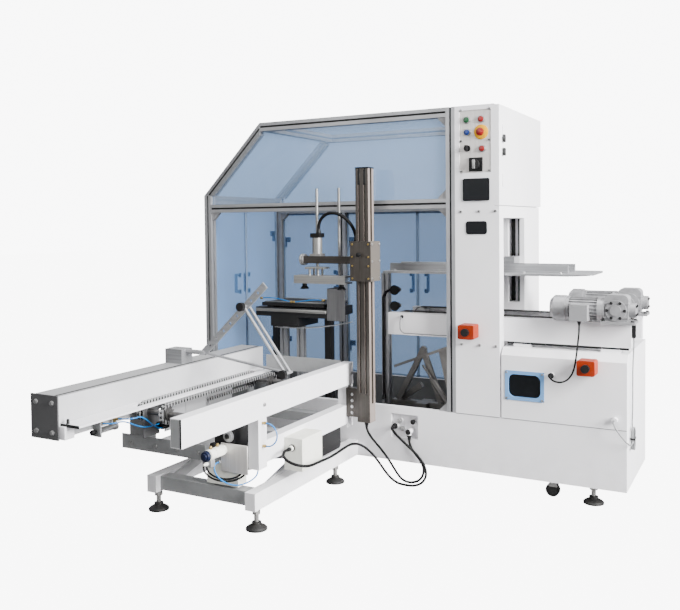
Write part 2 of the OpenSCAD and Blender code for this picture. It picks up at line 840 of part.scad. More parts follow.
module drive_gearboxes() {
  g = gearbox_size;
  case_w = g[0] - 40;
  axle_z = motor_z - beam_top;
  color(pale_grey) centred() for (y = motor_y)
    translate([gear_x, y, beam_top]) {
      translate([0, -g[1] / 2, 0]) cube([g[0], g[1], 12]);
      translate([12, 0, 8]) upright(-g[1] / 2 + 14, g[1] / 2 - 14) rounded([case_w, g[2] - 8], 22);
      for (side = [-1, 1]) translate([12 + case_w / 2, side * (g[1] / 2 - 14), axle_z]) rotate([-90 * side, 0, 0]) {
        cylinder(h = 8, d = 88);
        cylinder(h = 14, d = 46);
      }
      for (z = [26, 56, 86]) translate([10, -g[1] / 2 + 10, z]) cube([case_w + 4, g[1] - 20, 6]);
      translate([0, 0, axle_z]) rotate([0, 90, 0]) cylinder(h = 14, d = motor_d - 8);
      translate([case_w, 0, axle_z]) rotate([0, 90, 0]) cylinder(h = g[0] - case_w, d = 64);
    }
}

module press_plate() {
  tongue = slot_w - 2 * fit;
  color(white) centred() {
    difference() {
      block([press_x, press_x + press_l], [press_y0, press_y1], [press_z, press_z + press_t]);
      translate([press_x + press_l, press_y0, press_z - 1]) rotate(45) cube([120, 120, press_t + 2], center = true);
    }
    for (y = [press_y0 + 90, press_y1 - 110])
      block([press_x, press_x + press_l - 110], [y, y + 20], [press_z + press_t, press_z + press_t + press_bar_h]);
    translate([slot_x + fit, press_y1 - 90, press_z])
      cube([tongue, 90 + press_gap + slot_d - 6, press_t + press_bar_h + 30]);
  }
}

module stand_rails() {
  color(white) centred() for (x = [stand_left - stand_bar / 2, post_right])
    block([x, x + stand_bar], [-stand_l, 0], [stand_z, stand_top]);
}

module stand_crossbars() {
  color(pale_grey) centred() for (y = [-stand_l + 30, -post_far - 10])
    block([stand_left + stand_bar / 2, post_right], [y, y + 60], [stand_z + 7, stand_top - 7]);
}

// welded upper frame: the right posts with the beam between them, and the left beams between the crossmembers
module stand_posts() {
  half = post_w / 2;
  color(white) centred() {
    for (y = post_pitch_y)
      block([post_right, post_right + stand_bar], [y - half, y + half], [post_z, side_rail_z]);
    block([post_right, post_right + stand_bar], [-post_near + half, -post_far - half], [skirt_z, skirt_z + skirt_h]);
    for (y = [[-post_near + half, -post_mid - half], [-post_mid + half, -post_far - half]])
      block([stand_left - stand_bar / 2, stand_left + stand_bar / 2], y, [cross_z, cross_top]);
  }
}

// one scissor arm between two pivots given as [y, z], from x to x + arm_t
module scissor_arm(x, from, to) {
  run = to - from;
  translate([x, from[0], from[1]]) rotate([atan2(run[1], run[0]), 0, 0]) {
    translate([0, 0, -arm_w / 2]) cube([arm_t, norm(run), arm_w]);
    for (y = [0, norm(run)]) translate([0, y, 0]) rotate([0, 90, 0]) cylinder(h = arm_t, d = arm_w);
  }
}

module stand_arms() {
  near = -post_near + post_w / 2 + 40;
  far = -post_far - post_w / 2 - arm_w / 2 - 3;
  lo = stand_z + stand_rail_h / 2;
  hi = cross_z + cross_h / 2 + 8;
  outer = [stand_left + stand_bar / 2, post_right - arm_t];
  inner = [outer[0] + arm_t, outer[1] - arm_t];
  color(pale_grey) centred() for (k = [0, 1]) {
    scissor_arm(outer[k], [near, lo], [far, hi]);
    scissor_arm(inner[k], [near, hi], [far, lo]);
    for (at = [[near, hi], [far, lo]])
      translate([outer[k], at[0], at[1]]) rotate([0, 90, 0]) cylinder(h = arm_t, d = arm_w - 16);
  }
}

module magazine_rail() {
  color(white) centred()
    block([rail_in, side_rail_x], [-side_rail_l, -side_rail_end], [side_rail_z, side_rail_z + side_rail_h]);
}

module magazine_guide() {
  color(pale_grey) centred() {
    difference() {
      block([guide_x, flange_x], [-guide_l, guide_in], [guide_z, guide_z + guide_h]);
      block([flange_x - 34, flange_x - 20], [-guide_l - 1, guide_in + 1],
            [guide_z + guide_h - 12, guide_z + guide_h + 1]);
    }
    block([guide_x - 4, flange_x + 4], [-guide_l - 6, -guide_l], [guide_z - 4, guide_z + guide_h + 4]);
  }
}

module guide_plate() {
  slot = [chain_x - 15, chain_x + 15];
  color(white) centred() difference() {
    block([flange_x, flange_x + flange_w], [-guide_l + 12, -10], [flange_z, flange_z + flange_t]);
    block(slot, [-chain_near - 60, 0], [flange_z - 1, flange_z + flange_t + 1]);
  }
}

module magazine_crossmembers() {
  half = post_w / 2;
  color(pale_grey) centred() {
    for (y = [-post_near, -post_mid, -post_far]) {
      block([guide_x, post_right], [y - half, y + half], [cross_z, cross_top]);
      block([flange_x - 100, flange_x], [y - half, y + half], [cross_top, guide_z]);
    }
    block([flange_x + flange_w + 20, rail_in], [-106, -100], [guide_z + 78, guide_z + 152]);
    translate([air_start[0], air_start[1], air_start[2]]) rotate([-90, 0, 0])
      cylinder(h = -post_near - half - air_start[1], d = 16);
  }
}

module junction_box() {
  x = post_right + stand_bar;
  j = junction_size;
  color([0.90, 0.89, 0.82]) centred() {
    block([x, x + j[0]], [-junction_near, -junction_near + j[1]], [stand_top + 40, stand_top + 40 + j[2]]);
    translate([x + 40, -junction_near, stand_top + 138]) rotate([90, 0, 0]) cylinder(h = gland_l, d = gland_d);
    block([post_right - 215, post_right - 55], [-post_near - post_w / 2, -post_near + post_w / 2],
          [stand_top + 3, cross_z]);
  }
}

module lift_motor() {
  m = lift_motor_size;
  color(dark_grey) centred() {
    block([post_right - lift_motor_in, post_right - lift_motor_in + m[0]], [-post_near - 20, -post_near - 20 + m[0]],
          [cross_top, cross_top + m[0]]);
    translate([post_right - lift_motor_in + m[0] / 2, -post_near - 20 + m[0], cross_top + m[0] / 2])
      rotate([-90, 0, 0]) cylinder(h = m[2], d = m[1]);
    sideways(post_right + stand_bar - 20, post_right + stand_bar - 6)
      translate([-post_far - 330, stand_top + 6]) rounded([240, skirt_z - stand_top - 6], 18);
  }
}

// place of the chain's pin number i, as [y, z] round the shafts' middle height
function chain_pin(i) =
  let (half = sprocket_teeth / 2, step = 360 / sprocket_teeth, low = run_links + half)
  i <= run_links ? [-chain_near + i * chain_pitch, sprocket_r]
  : i < low ? [-chain_far, 0] + sprocket_r * [cos(90 - (i - run_links) * step), sin(90 - (i - run_links) * step)]
  : i <= low + run_links ? [-chain_far - (i - low) * chain_pitch, -sprocket_r]
  : [-chain_near, 0] + sprocket_r * [cos(-90 - (i - low - run_links) * step), sin(-90 - (i - low - run_links) * step)];

// outline of the link plate between pin i and the next one, h high at its ends
module link_plate(i, h) {
  a = chain_pin(i);
  run = chain_pin((i + 1) % chain_links) - a;
  translate(a) rotate(atan2(run[1], run[0])) {
    for (y = [0, chain_pitch]) translate([y, 0]) circle(d = h);
    translate([0, -0.4 * h]) square([chain_pitch, 0.8 * h]);
  }
}

// one roller chain, closed round its two sprockets: inner and outer links in turn
module feed_chain() {
  half = roller_w / 2;
  for (i = [0:2:chain_links - 2]) for (side = [-1, 1]) {
    x = side > 0 ? half : -half - link_t;
    sideways(x, x + link_t) link_plate(i, link_h);
    sideways(x + side * link_t, x + side * link_t + link_t) link_plate(i + 1, link_h - 1);
  }
  for (i = [0:chain_links - 1]) translate([0, chain_pin(i)[0], chain_pin(i)[1]]) rotate([0, 90, 0]) {
    cylinder(h = roller_w, d = roller_d, center = true);
    cylinder(h = roller_w + 4 * link_t + 2, d = pin_d, center = true);
  }
}

module feed_chains() {
  color(dark_grey) centred() for (x = [chain_x, chain_x + chain_step]) translate([x, 0, chain_z]) feed_chain();
}

// toothed wheel with a seat for each roller, opened for the rollers that come and go, axis along Z
module sprocket() {
  step = 360 / sprocket_teeth;
  lean = step - atan2(chain_pitch, sprocket_r);
  linear_extrude(roller_w - 2 * fit, center = true) difference() {
    circle(sprocket_r + 0.3 * roller_d);
    for (k = [0:sprocket_teeth - 1]) {
      rotate(k * step) translate([sprocket_r, 0]) circle(d = roller_d + 2 * fit);
      for (side = [-1, 1]) rotate(k * step + side * lean)
        translate([norm([chain_pitch, sprocket_r]), 0]) circle(d = roller_d + 2 * fit);
    }
  }
  cylinder(h = 2 * roller_w, d = 1.8 * shaft_d, center = true);
}

module chain_sprockets() {
  color(dark_grey) centred() for (y = [-chain_near, -chain_far]) {
    translate([flange_x, y, chain_z]) rotate([0, 90, 0]) cylinder(h = rail_in - flange_x, d = shaft_d);
    for (x = [chain_x, chain_x + chain_step])
      translate([x, y, chain_z]) rotate([0, 90, 0]) sprocket();
  }
}

stop_foot = [flange_x + 63, guide_z + guide_h + 56];
stop_pivot = stop_foot + 0.7 * [stop_run, stop_rise];
stop_toe = [rail_in - 25, side_rail_z + side_rail_h + 20];
stop_pin_l = 68;

module stack_stop() {
  slant = atan2(stop_rise, stop_run);
  bar_l = norm([stop_rise, stop_run]);
  leg = stop_toe - stop_pivot;
  low = stop_toe - stop_foot;
  color(aluminium) centred() {
    block([guide_x, flange_x - 40], [-stop_y - 40, -stop_y + 40], [guide_z + guide_h, stop_foot[1] + 12]);
    translate([flange_x - 40, -stop_y, stop_foot[1]]) rotate([0, 90, 0]) cylinder(h = 110, d = 22);
    translate([stop_foot[0], -stop_y - stop_bar_t / 2, stop_foot[1]]) rotate([0, -slant, 0]) difference() {
      translate([0, 0, -stop_bar_w / 2]) cube([bar_l, stop_bar_t, stop_bar_w]);
      for (k = [1:stop_holes]) translate([bar_l * k / (stop_holes + 1), -1, 0])
        rotate([-90, 0, 0]) cylinder(h = stop_bar_t + 2, d = stop_hole_d);
    }
    for (side = [-1, 1]) translate([stop_pivot[0], side * 20 - stop_y, stop_pivot[1]])
      rotate([0, 90 - atan2(leg[1], leg[0]), 0]) cylinder(h = norm(leg), d = stop_rod_d);
    for (at = [stop_pivot, stop_toe])
      translate([at[0], -stop_y - stop_pin_l / 2, at[1]]) rotate([-90, 0, 0]) cylinder(h = stop_pin_l, d = 12);
    translate([stop_foot[0], -stop_y, stop_foot[1]])
      rotate([0, 90 - atan2(low[1], low[0]), 0]) cylinder(h = norm(low), d = 12);
  }
}

module mast() {
  front = head_y - mast_d / 2;
  color(nickel) centred() {
    difference() {
      block([mast_x, mast_x + mast_w], [front, front + mast_d], [mast_z, mast_top]);
      for (x = [mast_x + 14, mast_x + mast_w - 14 - groove_w])
        block([x, x + groove_w], [front - 1, front + groove_d], [mast_z + 140, mast_top + 1]);
      block([mast_x + mast_w - groove_d, mast_x + mast_w + 1], [head_y - groove_w, head_y + groove_w],
            [mast_z + 90, mast_top + 1]);
    }
    block([post_right + stand_bar, mast_x], [head_y - 20, head_y + 20], [mast_z + 20, mast_z + 160]);
  }
}

module carriage() {
  g = fit;
  color(nickel) centred() difference() {
    block([mast_x - carriage_t, mast_x + mast_w + carriage_t],
          [head_y - mast_d / 2 - carriage_t, head_y + mast_d / 2 + carriage_t],
          [carriage_z, carriage_z + carriage_h]);
    block([mast_x - g, mast_x + mast_w + g], [head_y - mast_d / 2 - g, head_y + mast_d / 2 + g],
          [carriage_z - 1, carriage_z + carriage_h + 1]);
  }
}

// piston rod and guide rod of the suction bar along X
rods_x = [arm_x0 + 80, arm_x0 + 205];
cylinder_x = rods_x[0];

module head_arm() {
  color(dark_grey) centred() difference() {
    block([arm_x0, mast_x - carriage_t], [head_y - 24, head_y + 24], [arm_z - arm_h / 2, arm_z + arm_h / 2]);
    for (x = rods_x)
      translate([x, head_y, arm_z - arm_h]) cylinder(h = 2 * arm_h, d = rod_d + 2 * fit);
  }
}

module head_cylinder() {
  color(aluminium) centred() difference() {
    translate([cylinder_x, head_y, arm_z + arm_h / 2]) {
      cylinder(h = 92, d = 50);
      translate([-28, -28, 0]) cube([56, 56, 12]);
      translate([-26, -26, 92]) cube([52, 52, 22]);
    }
    translate([cylinder_x, head_y, arm_z]) cylinder(h = 150, d = rod_d + 2 * fit);
  }
}

suction_z = carriage_z - 18;
suction_x = arm_x0 - 36;

module suction_bar() {
  top = suction_z + suction_h;
  color(aluminium) centred() {
    difference() {
      block([suction_x, suction_x + suction_l], [head_y - 40, head_y + 40], [suction_z, top]);
      block([suction_x - 1, suction_x + suction_l + 1], [head_y - 32, head_y + 41], [suction_z + 8, top - 8]);
    }
    for (x = rods_x) translate([x, head_y, top]) cylinder(h = rod_l, d = rod_d);
    for (x = [cylinder_x - 33, cylinder_x + 15], y = [head_y - 22, head_y + 22])
      translate([x, y, top]) cylinder(h = 32, d = 12);
    block([cylinder_x - 55, cylinder_x + 50], [head_y - 34, head_y + 34], [top + 32, top + 42]);
  }
}

module suction_cups() {
  color(black) centred()
    for (x = [suction_x + 40, suction_x + suction_l - 40])
      translate([x, head_y, suction_z - 30]) rotate_extrude()
        polygon([[0, 4], [cup_d / 2, 0], [cup_d / 2, 4], [12, 16], [12, 30], [0, 30]]);
}

module former_table() {
  z = table_z;
  x = table_at[0];
  y = table_at[1];
  end = x + table_size[0];
  color(dark_grey) centred() {
    block([x, end], [y, y + table_size[1]], [z, z + table_size[2]]);
    block([x + 35, end - 24], [y + 10, y + table_size[1] - 20], [z + table_size[2] + 8, z + table_size[2] + 26]);
    for (at = [x + 60, end - 90], back = [30, table_size[1] - 80])
      block([at, at + 40], [y + back, y + back + 40], [z + table_size[2], z + table_size[2] + 8]);
    block([x + 100, x + 280], [y, y + 220], [z - 55, z]);
    for (at = [x + 40, end - 80])
      block([at, at + inner_bar], [y + 110, y + 110 + inner_bar], [pan_top, z]);
    block([end, end + 8], [y, y + 130], [z - 10, z - 10 + blank_guide[1]]);
    block([end + 8, end + blank_guide[0]], [y, y + 6], [z - 10, z - 10 + blank_guide[1]]);
  }
}

// square inner post with a slot in each face, from the pan up to z
module inner_post(x, y, z) {
  translate([x, y, pan_top]) linear_extrude(z - pan_top) difference() {
    square(inner_bar, center = true);
    for (turn = [0:3])
      rotate(turn * 90) translate([inner_bar / 2 - groove_d, -groove_w / 2]) square([groove_d + 1, groove_w]);
  }
}

// flat bar between two points given as [x, z], from y0 back to y1
module strut(from, to, w, y0, y1) {
  run = to - from;
  upright(y0, y1) translate(from) rotate(atan2(run[1], run[0])) translate([0, -w / 2]) square([norm(run), w]);
}

unit_x = inner_post_at[0] + inner_bar / 2 + unit_reach;

module flap_folders() {
  x = folder_x;
  y = inner_post_at[1];
  skid_x = table_at[0] + skid_in;
  skid_z = table_z - 55;
  color(aluminium) centred() {
    inner_post(inner_post_at[0], y, deck + inner_post_h);
    for (z = unit_h)
      block([inner_post_at[0] + inner_bar / 2, unit_x + 14], [y - 10, y + 10], [deck + z - 8, deck + z + 8]);
    for (step = [135, 245]) inner_post(table_at[0] + step, table_at[1] + 90, skid_z);
    translate([skid_x, table_at[1] + 40, skid_z + skid_r - 4]) rotate([90, 0, 0]) rotate(-92.5)
      rotate_extrude(angle = 16, $fn = 360) translate([skid_r, 0]) square([4, 40]);
    block([skid_x - 20, skid_x + 20], [table_at[1], table_at[1] + 40], [skid_z - 6, skid_z]);
    block([x - 30, x + 30], [y - 60, y + 60], [pan_top, deck - 20]);
    block([x - 180, x + 175], [y - 20, y + 20], [deck - 48, deck - 20]);
    strut([x - 147, deck - 20], [x, deck + 262], 28, y - 12, y + 12);
    strut([x + 90, deck - 20], [x - 12, deck + 262], 28, y - 12, y + 12);
    strut([x - 157, deck + 157], [x + 149, deck + 277], 14, y - 36, y - 12);
    strut([x - 182, deck - 56], [x - 27, deck + 63], 30, y + 12, y + 36);
    upright(y, y + 8) polygon([
      [x + 73, deck + 257], [x + 191, deck + 257], [x + 171, deck - 30], [x + 137, deck - 30]]);
    translate([x + 147, y - 24, deck - 34]) rotate([0, -35.7, 0]) {
      cylinder(h = 160, d = 30);
      cylinder(h = 255, d = 12);
    }
  }
}

// the cords' routes, point by point, before the centring
stand_route = [
  [985, -710, 300], [985, -750.1, 300], [1001.6, -786.5, 293.2], [1033.5, -806.4, 281.6],
  [1070.1, -800, 268.6], [1094.7, -770.8, 258.3], [1101.4, -732, 251.9], [1098.5, -692.2, 247.3],
  [1092.6, -652.7, 242.5], [1085.6, -613.5, 237.1], [1078.3, -574.4, 231.5], [1071, -535.2, 226.2],
  [1063.8, -496, 221.4], [1057, -456.5, 217.6], [1051, -416.8, 215.3], [1045.4, -377.1, 213.7],
  [1040.3, -337.2, 212.8], [1036.1, -297.2, 212.2], [1033.9, -257.1, 211], [1035.4, -217.2, 206.7],
  [1043.1, -179.4, 196], [1058.6, -148.4, 176.2], [1079.3, -126.9, 149.4], [1101.4, -113.3, 118.8],
  [1123.6, -105, 86.3], [1147.4, -100.4, 54.3], [1176.3, -99, 26.7], [1212.6, -100.3, 9.9],
  [1252.4, -101.5, 6.6], [1292.4, -98.9, 8.3], [1328.2, -91, 23.7], [1346.9, -81.4, 56.9],
  [1340.8, -76.8, 95.8], [1320.1, -77.9, 130.1], [1293.6, -82.7, 159.9], [1264.8, -89.1, 187.2],
  [1234.2, -93.3, 212.8], [1201.7, -88.5, 235.6], [1171.6, -67.2, 250.3], [1150, -32.1, 254],
  [1150, 8, 254]];
mast_route = [
  [1046, -100, 290], [1046, -100, 259.9], [1054.8, -95, 231.5], [1069.1, -87.4, 206.1],
  [1085.8, -79, 182.5], [1103.2, -71, 159.2], [1120.5, -64.2, 135.6], [1137.5, -59, 111.3],
  [1154.2, -55.6, 86.4], [1171.1, -54.1, 61.6], [1189.6, -54.9, 37.8], [1212.2, -58, 18.3],
  [1240.3, -60.1, 8.4], [1270.1, -56.9, 9.2], [1296.8, -48.9, 19.9], [1313, -38.8, 42.6],
  [1314, -29.4, 70.9], [1301.7, -22.1, 97.2], [1281.8, -16.9, 119.1], [1260.1, -13.4, 139.7],
  [1241.6, -11.1, 163.2], [1232, -10, 191.5], [1232, -10, 221.6]];
motor_route = [
  [1922, -20, 570], [1922, -39.7, 570], [1928.3, -57.8, 565.9], [1941.7, -70.5, 559.5],
  [1960.1, -75, 554.7], [1979.3, -71.6, 554.9], [1996, -63.4, 561.3], [2008.9, -54.2, 572.9],
  [2018.1, -46.2, 588.4], [2024.3, -39.8, 606], [2028.3, -34.7, 624.6], [2031, -30.6, 643.8],
  [2033.1, -27.1, 663.1], [2034.9, -24, 682.5], [2036.7, -21.3, 702], [2038.5, -19.1, 721.5],
  [2040.2, -17.3, 741.1], [2041.6, -16.1, 760.8], [2042.6, -15.3, 780.5], [2043, -15, 800.3],
  [2043, -15, 820]];
hank_at = [base_l + 4, 84, 273];
sensor_route = [
  [2255, 85, 745], [2255, 85, 725], [2254, 85, 680], [2252, 84, 630], [2251, 84, 580], [2251, 84, 530],
  [2251, 84, 480], [2251, 84, 430], [2251, 84, 390],
  [2251, 84, hank_at[2] + hank_run + hank_r + sensor_lead_d / 2]];
hank_route = [
  [2258, hank_at[1] - hank_r - sensor_lead_d / 2, 296], [2258, 50, 296], [2257, 34, 293], [2256, 14, 291],
  [2255, -6, 295], [2249, -24, 304], [2238, -38, 319], [2224, -47, 339], [2209, -51, 361], [2198, -50, 380],
  [2192, -44, 393], [2191, -33, 397], [2191, -20.2, 397]];
hose_route = [
  [796, -112, 1208], [796, -112, 1224], [798, -114, 1242], [806, -118, 1264], [822, -123, 1284],
  [845, -127, 1299], [874, -130, 1307], [904, -130, 1305], [934, -127, 1293], [961, -121, 1272],
  [982, -113, 1244], [994, -106, 1212], [999, -103, 1186], [999, -103, 1168]];
air_start = [750, -897, 262];
air_route = [
  air_start - [0, 0.2, 0], [750.2, -913.3, 261.6], [753.9, -927.9, 255.2], [760.7, -938, 244.5],
  [769.8, -942.7, 231.9], [780.4, -942.4, 219.4], [791.9, -939, 208.3], [804.3, -933.8, 199],
  [817.8, -927.9, 191.8], [832, -921.6, 187], [846.7, -914.8, 184.8], [861.3, -907.3, 185.3],
  [875.2, -899.2, 188.3], [887.9, -890.3, 193.3], [899.3, -880.6, 200], [909, -870.4, 208.3],
  [916.4, -860.6, 219], [920, -855, 233.7], [920, -855, 250]];

function along(p, i) = let (run = p[min(i + 1, len(p) - 1)] - p[max(i - 1, 0)]) run / norm(run);
function squared(u, t) = let (v = u - (u * t) * t) v / norm(v);
// a side vector at each point, carried along the route without twist
function side_vectors(p, u, i = 0) =
  i == len(p) ? [] : let (v = squared(u, along(p, i))) concat([v], side_vectors(p, v, i + 1));

// round cord swept along its route
module tube(p, d, n = 10) {
  us = side_vectors(p, abs(along(p, 0)[0]) > 0.8 ? [0, 0, 1] : [1, 0, 0]);
  rings = [for (i = [0:len(p) - 1]) let (w = cross(along(p, i), us[i])) for (k = [0:n - 1])
    p[i] + d / 2 * (cos(360 * k / n) * us[i] + sin(360 * k / n) * w)];
  walls = [for (i = [0:len(p) - 2], k = [0:n - 1]) let (a = i * n + k, b = i * n + (k + 1) % n)
    each [[a, a + n, b + n], [a, b + n, b]]];
  last = (len(p) - 1) * n;
  polyhedron(rings, concat([[for (k = [0:n - 1]) k]], walls, [[for (k = [n - 1:-1:0]) last + k]]));
}

module stand_cable() {
  color(black) centred() tube(stand_route, lead_d);
}

module mast_cable() {
  color(black) centred() tube(mast_route, lead_d);
}

module motor_cable() {
  color(black) centred() tube(motor_route, motor_lead_d);
}

module sensor_cable() {
  color(pale_grey) centred() {
    tube(sensor_route, sensor_lead_d, 8);
    tube(hank_route, sensor_lead_d, 8);
  }
}

// the tied hank of the sensor's spare lead, three turns thick
module sensor_hank() {
  r = hank_r + sensor_lead_d / 2;
  color(pale_grey) centred() translate([hank_at[0], 0, 0]) sideways(0, 3 * sensor_lead_d) {
    for (z = [hank_at[2], hank_at[2] + hank_run]) translate([hank_at[1], z]) circle(r);
    translate([hank_at[1] - r, hank_at[2]]) square([2 * r, hank_run]);
  }
}

module vacuum_hose() {
  color(black) centred() tube(hose_route, hose_d);
}

module air_tube() {
  color([0.15, 0.55, 0.85]) centred() tube(air_route, air_tube_d, 8);
}

base_walls();
base_body();
outfeed_housing();
window_bezel();
dark_windows();
levelling_feet();
casters();
column_front();
column_back();
control_cabinet();
control_plate();
push_buttons();
black_knobs();
stop_boxes();
enclosure_posts();
enclosure_rails();
enclosure_cross_rails();
enclosure_slopes();
upper_panes();
door_hinges();
conveyor_beams();
side_belts();
belt_drums();
drive_motors();
drive_gearboxes();
stand_rails();
stand_crossbars();
stand_arms();
stand_posts();
magazine_rail();
magazine_guide();
guide_plate();
magazine_crossmembers();
junction_box();
lift_motor();
feed_chains();
chain_sprockets();
stack_stop();
mast();
former_table();
flap_folders();
carriage();
head_arm();
head_cylinder();
suction_bar();
suction_cups();
press_plate();
side_door_front();
side_door_rear();
back_door_left();
back_door_centre();
back_door_right();
cabinet_door();
stand_cable();
mast_cable();
motor_cable();
sensor_cable();
sensor_hank();
vacuum_hose();
air_tube();
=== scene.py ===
import json
import math
import bpy
from mathutils import Matrix, Vector


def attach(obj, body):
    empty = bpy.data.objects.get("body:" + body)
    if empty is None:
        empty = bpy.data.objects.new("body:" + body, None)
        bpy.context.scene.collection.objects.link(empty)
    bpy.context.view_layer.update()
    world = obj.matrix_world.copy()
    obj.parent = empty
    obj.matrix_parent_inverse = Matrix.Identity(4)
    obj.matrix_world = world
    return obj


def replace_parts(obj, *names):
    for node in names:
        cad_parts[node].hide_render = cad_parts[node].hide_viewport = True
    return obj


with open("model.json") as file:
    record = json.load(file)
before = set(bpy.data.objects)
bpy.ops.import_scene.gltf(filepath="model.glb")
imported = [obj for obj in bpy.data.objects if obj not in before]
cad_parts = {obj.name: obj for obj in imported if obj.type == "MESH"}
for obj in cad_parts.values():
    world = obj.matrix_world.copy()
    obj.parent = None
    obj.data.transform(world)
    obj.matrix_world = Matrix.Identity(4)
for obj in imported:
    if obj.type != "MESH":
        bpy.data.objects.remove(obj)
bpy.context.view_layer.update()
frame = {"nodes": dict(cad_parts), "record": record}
nodes = frame["nodes"]
print("frame loaded:", len(nodes), "nodes")

baseCorner = (1116, -294)  # the frame's middle, in mm from the base's left front corner


def at(x, y, z):  # mm from the base's corner to metres in the frame
    return Vector(((x - baseCorner[0]) / 1000, (y - baseCorner[1]) / 1000, z / 1000))


cameraSet = {"place": (1.669, -3.2807, 1.250), "turn": (88.0, 0.610, 28.349), "lens": 42.5,
             "sensor": 36, "shift": -0.0771}

bpy.ops.object.select_all(action="DESELECT")
bpy.ops.object.camera_add(location=cameraSet["place"], rotation=[math.radians(a) for a in cameraSet["turn"]])
camera = bpy.context.object
camera.name = "photoCamera"
camera.data.lens = cameraSet["lens"]
camera.data.sensor_width = cameraSet["sensor"]
camera.data.sensor_fit = "HORIZONTAL"
camera.data.shift_y = cameraSet["shift"]
bpy.context.scene.camera = camera
print("camera set")


class Wire:  # one socket of a material, with its maths
    def __init__(self, tree, socket=None):
        self.tree = tree
        self.socket = socket

    def node(self, kind, settings=None, inputs=None, out=0):
        made = self.tree.nodes.new(kind)
        for key, value in (settings or {}).items():
            setattr(made, key, value)
        for key, value in (inputs or {}).items():
            if isinstance(value, Wire):
                self.tree.links.new(value.socket, made.inputs[key])
            else:
                made.inputs[key].default_value = value
        return Wire(self.tree, made.outputs[out])

    def maths(self, operation, first, second, clamp=False):
        settings = {"operation": operation, "use_clamp": clamp}
        return self.node("ShaderNodeMath", settings, {0: first, 1: second})

    def __add__(self, other):
        return self.maths("ADD", self, other)

    def __radd__(self, other):
        return self.maths("ADD", other, self)

    def __sub__(self, other):
        return self.maths("SUBTRACT", self, other)

    def __rsub__(self, other):
        return self.maths("SUBTRACT", other, self)

    def __mul__(self, other):
        return self.maths("MULTIPLY", self, other)

    def __rmul__(self, other):
        return self.maths("MULTIPLY", other, self)

    def clamped(self):
        return self.maths("ADD", self, 0.0, True)

    def blend(self, mask, first, second):
        return self.node("ShaderNodeMix", {"data_type": "RGBA"}, {0: mask, 6: first, 7: second}, 2)

    def coords(self, stretch=(1, 1, 1)):
        place = self.node("ShaderNodeTexCoord", out="Object")
        return self.node("ShaderNodeMapping", None, {"Vector": place, "Scale": stretch})

    def noise(self, place, scale, detail=4.0, rough=0.55):
        return self.node("ShaderNodeTexNoise", None,
                         {"Vector": place, "Scale": scale, "Detail": detail, "Roughness": rough}, "Fac")

    def stripes(self, axis, scale):
        return self.node("ShaderNodeTexWave", {"wave_type": "BANDS", "bands_direction": axis},
                         {"Vector": self.coords(), "Scale": scale, "Distortion": 0.0, "Detail": 0.0}, "Fac")

    def band(self, value, low, high):  # 0 under low, 1 over high
        return self.node("ShaderNodeMapRange", {"clamp": True}, {0: value, 1: low, 2: high, 3: 0.0, 4: 1.0})

    def axis(self, name):
        place = self.node("ShaderNodeTexCoord", out="Object")
        return self.node("ShaderNodeSeparateXYZ", None, {0: place}, name)

    def past(self, name, limit, half=0.0005):  # 0 before this place along an axis, 1 after it
        return self.band(self.axis(name), limit - half, limit + half)

    def bump(self, height, strength, distance):
        return self.node("ShaderNodeBump", None,
                         {"Strength": strength, "Distance": distance, "Height": height})

    def sight(self):  # rays from the camera, and those that met no clear sheet yet
        seen = self.node("ShaderNodeLightPath", out="Is Camera Ray")
        return seen, seen * (1 - self.node("ShaderNodeLightPath", out="Transparent Depth")).clamped()

    def facing(self, name):  # 1 on faces that look along this axis
        way = self.node("ShaderNodeTexCoord", out="Normal")
        return self.band(self.node("ShaderNodeSeparateXYZ", None, {0: way}, name), 0.5, 0.8)


def tint(r, g, b):  # photo colour, 0 to 255, to scene linear
    lin = [c / 255 / 12.92 if c / 255 <= 0.04045 else ((c / 255 + 0.055) / 1.055) ** 2.4 for c in (r, g, b)]
    return (*lin, 1)


def startFinish(name):
    material = bpy.data.materials.new(name)
    material.use_nodes = True
    return material, Wire(material.node_tree), material.node_tree.nodes["Principled BSDF"]


def join(wire, shader, links, fixed):
    for key, value in links.items():
        wire.tree.links.new(value.socket, shader.inputs[key])
    for key, value in fixed.items():
        shader.inputs[key].default_value = value


def paintFinish(name, s):  # powder coat: orange peel, faint patches, handled spots, dust towards the floor
    material, w, shader = startFinish(name)
    place = w.coords()
    patch = w.noise(place, 3.0, 5.0, 0.6)
    mottle = w.band(patch, 0.35, 0.68)
    smudge = w.band(w.noise(place, 11.0, 6.0, 0.65), 0.52, 0.72)
    peel = w.noise(place, 420.0, 2.0)
    dirt = tint(*s.get("dirt", (150, 146, 138)))
    colour = w.blend(mottle, tint(*s["colour"]), tint(*s["shade"]))
    dust = (1 - w.band(w.axis("Z"), 0.08, 0.30)) * w.band(w.noise(place, 17.0, 5.0), 0.40, 0.62)
    colour = w.blend((dust * 0.10).clamped(), colour, dirt)
    colour = w.blend((smudge * s["marks"]).clamped(), colour, dirt)
    if "paintedTopShade" in s:  # painted shade: the upper faces darker
        colour = w.blend(w.facing("Z"), colour, tint(*s["paintedTopShade"]))
    if "endPlate" in s:  # bare dark plate on the near end
        bare = w.blend(mottle, tint(84, 84, 85), tint(72, 72, 73))
        colour = w.blend(1 - w.past("Y", s["endPlate"], 0.0004), colour, bare)
    if "inside" in s:  # painted shade, with some oil, over the pan and the inner faces round it
        inPanShade = 1.0
        for axis, (low, high) in s["inside"].items():
            isOver = w.past(axis, high + 0.001, 0.0002)
            inPanShade = w.past(axis, low - 0.001, 0.0002) * (1 - isOver) * inPanShade
        colour = w.blend(inPanShade, colour, w.blend(mottle, tint(104, 105, 106), tint(86, 87, 88)))
    rough = s["rough"] + 0.10 * smudge + 0.06 * patch
    bump = w.bump(peel, 0.10, 0.0006)
    join(w, shader, {"Base Color": colour, "Roughness": rough, "Normal": bump},
         {"Specular IOR Level": s.get("gloss", 0.45)})
    return material


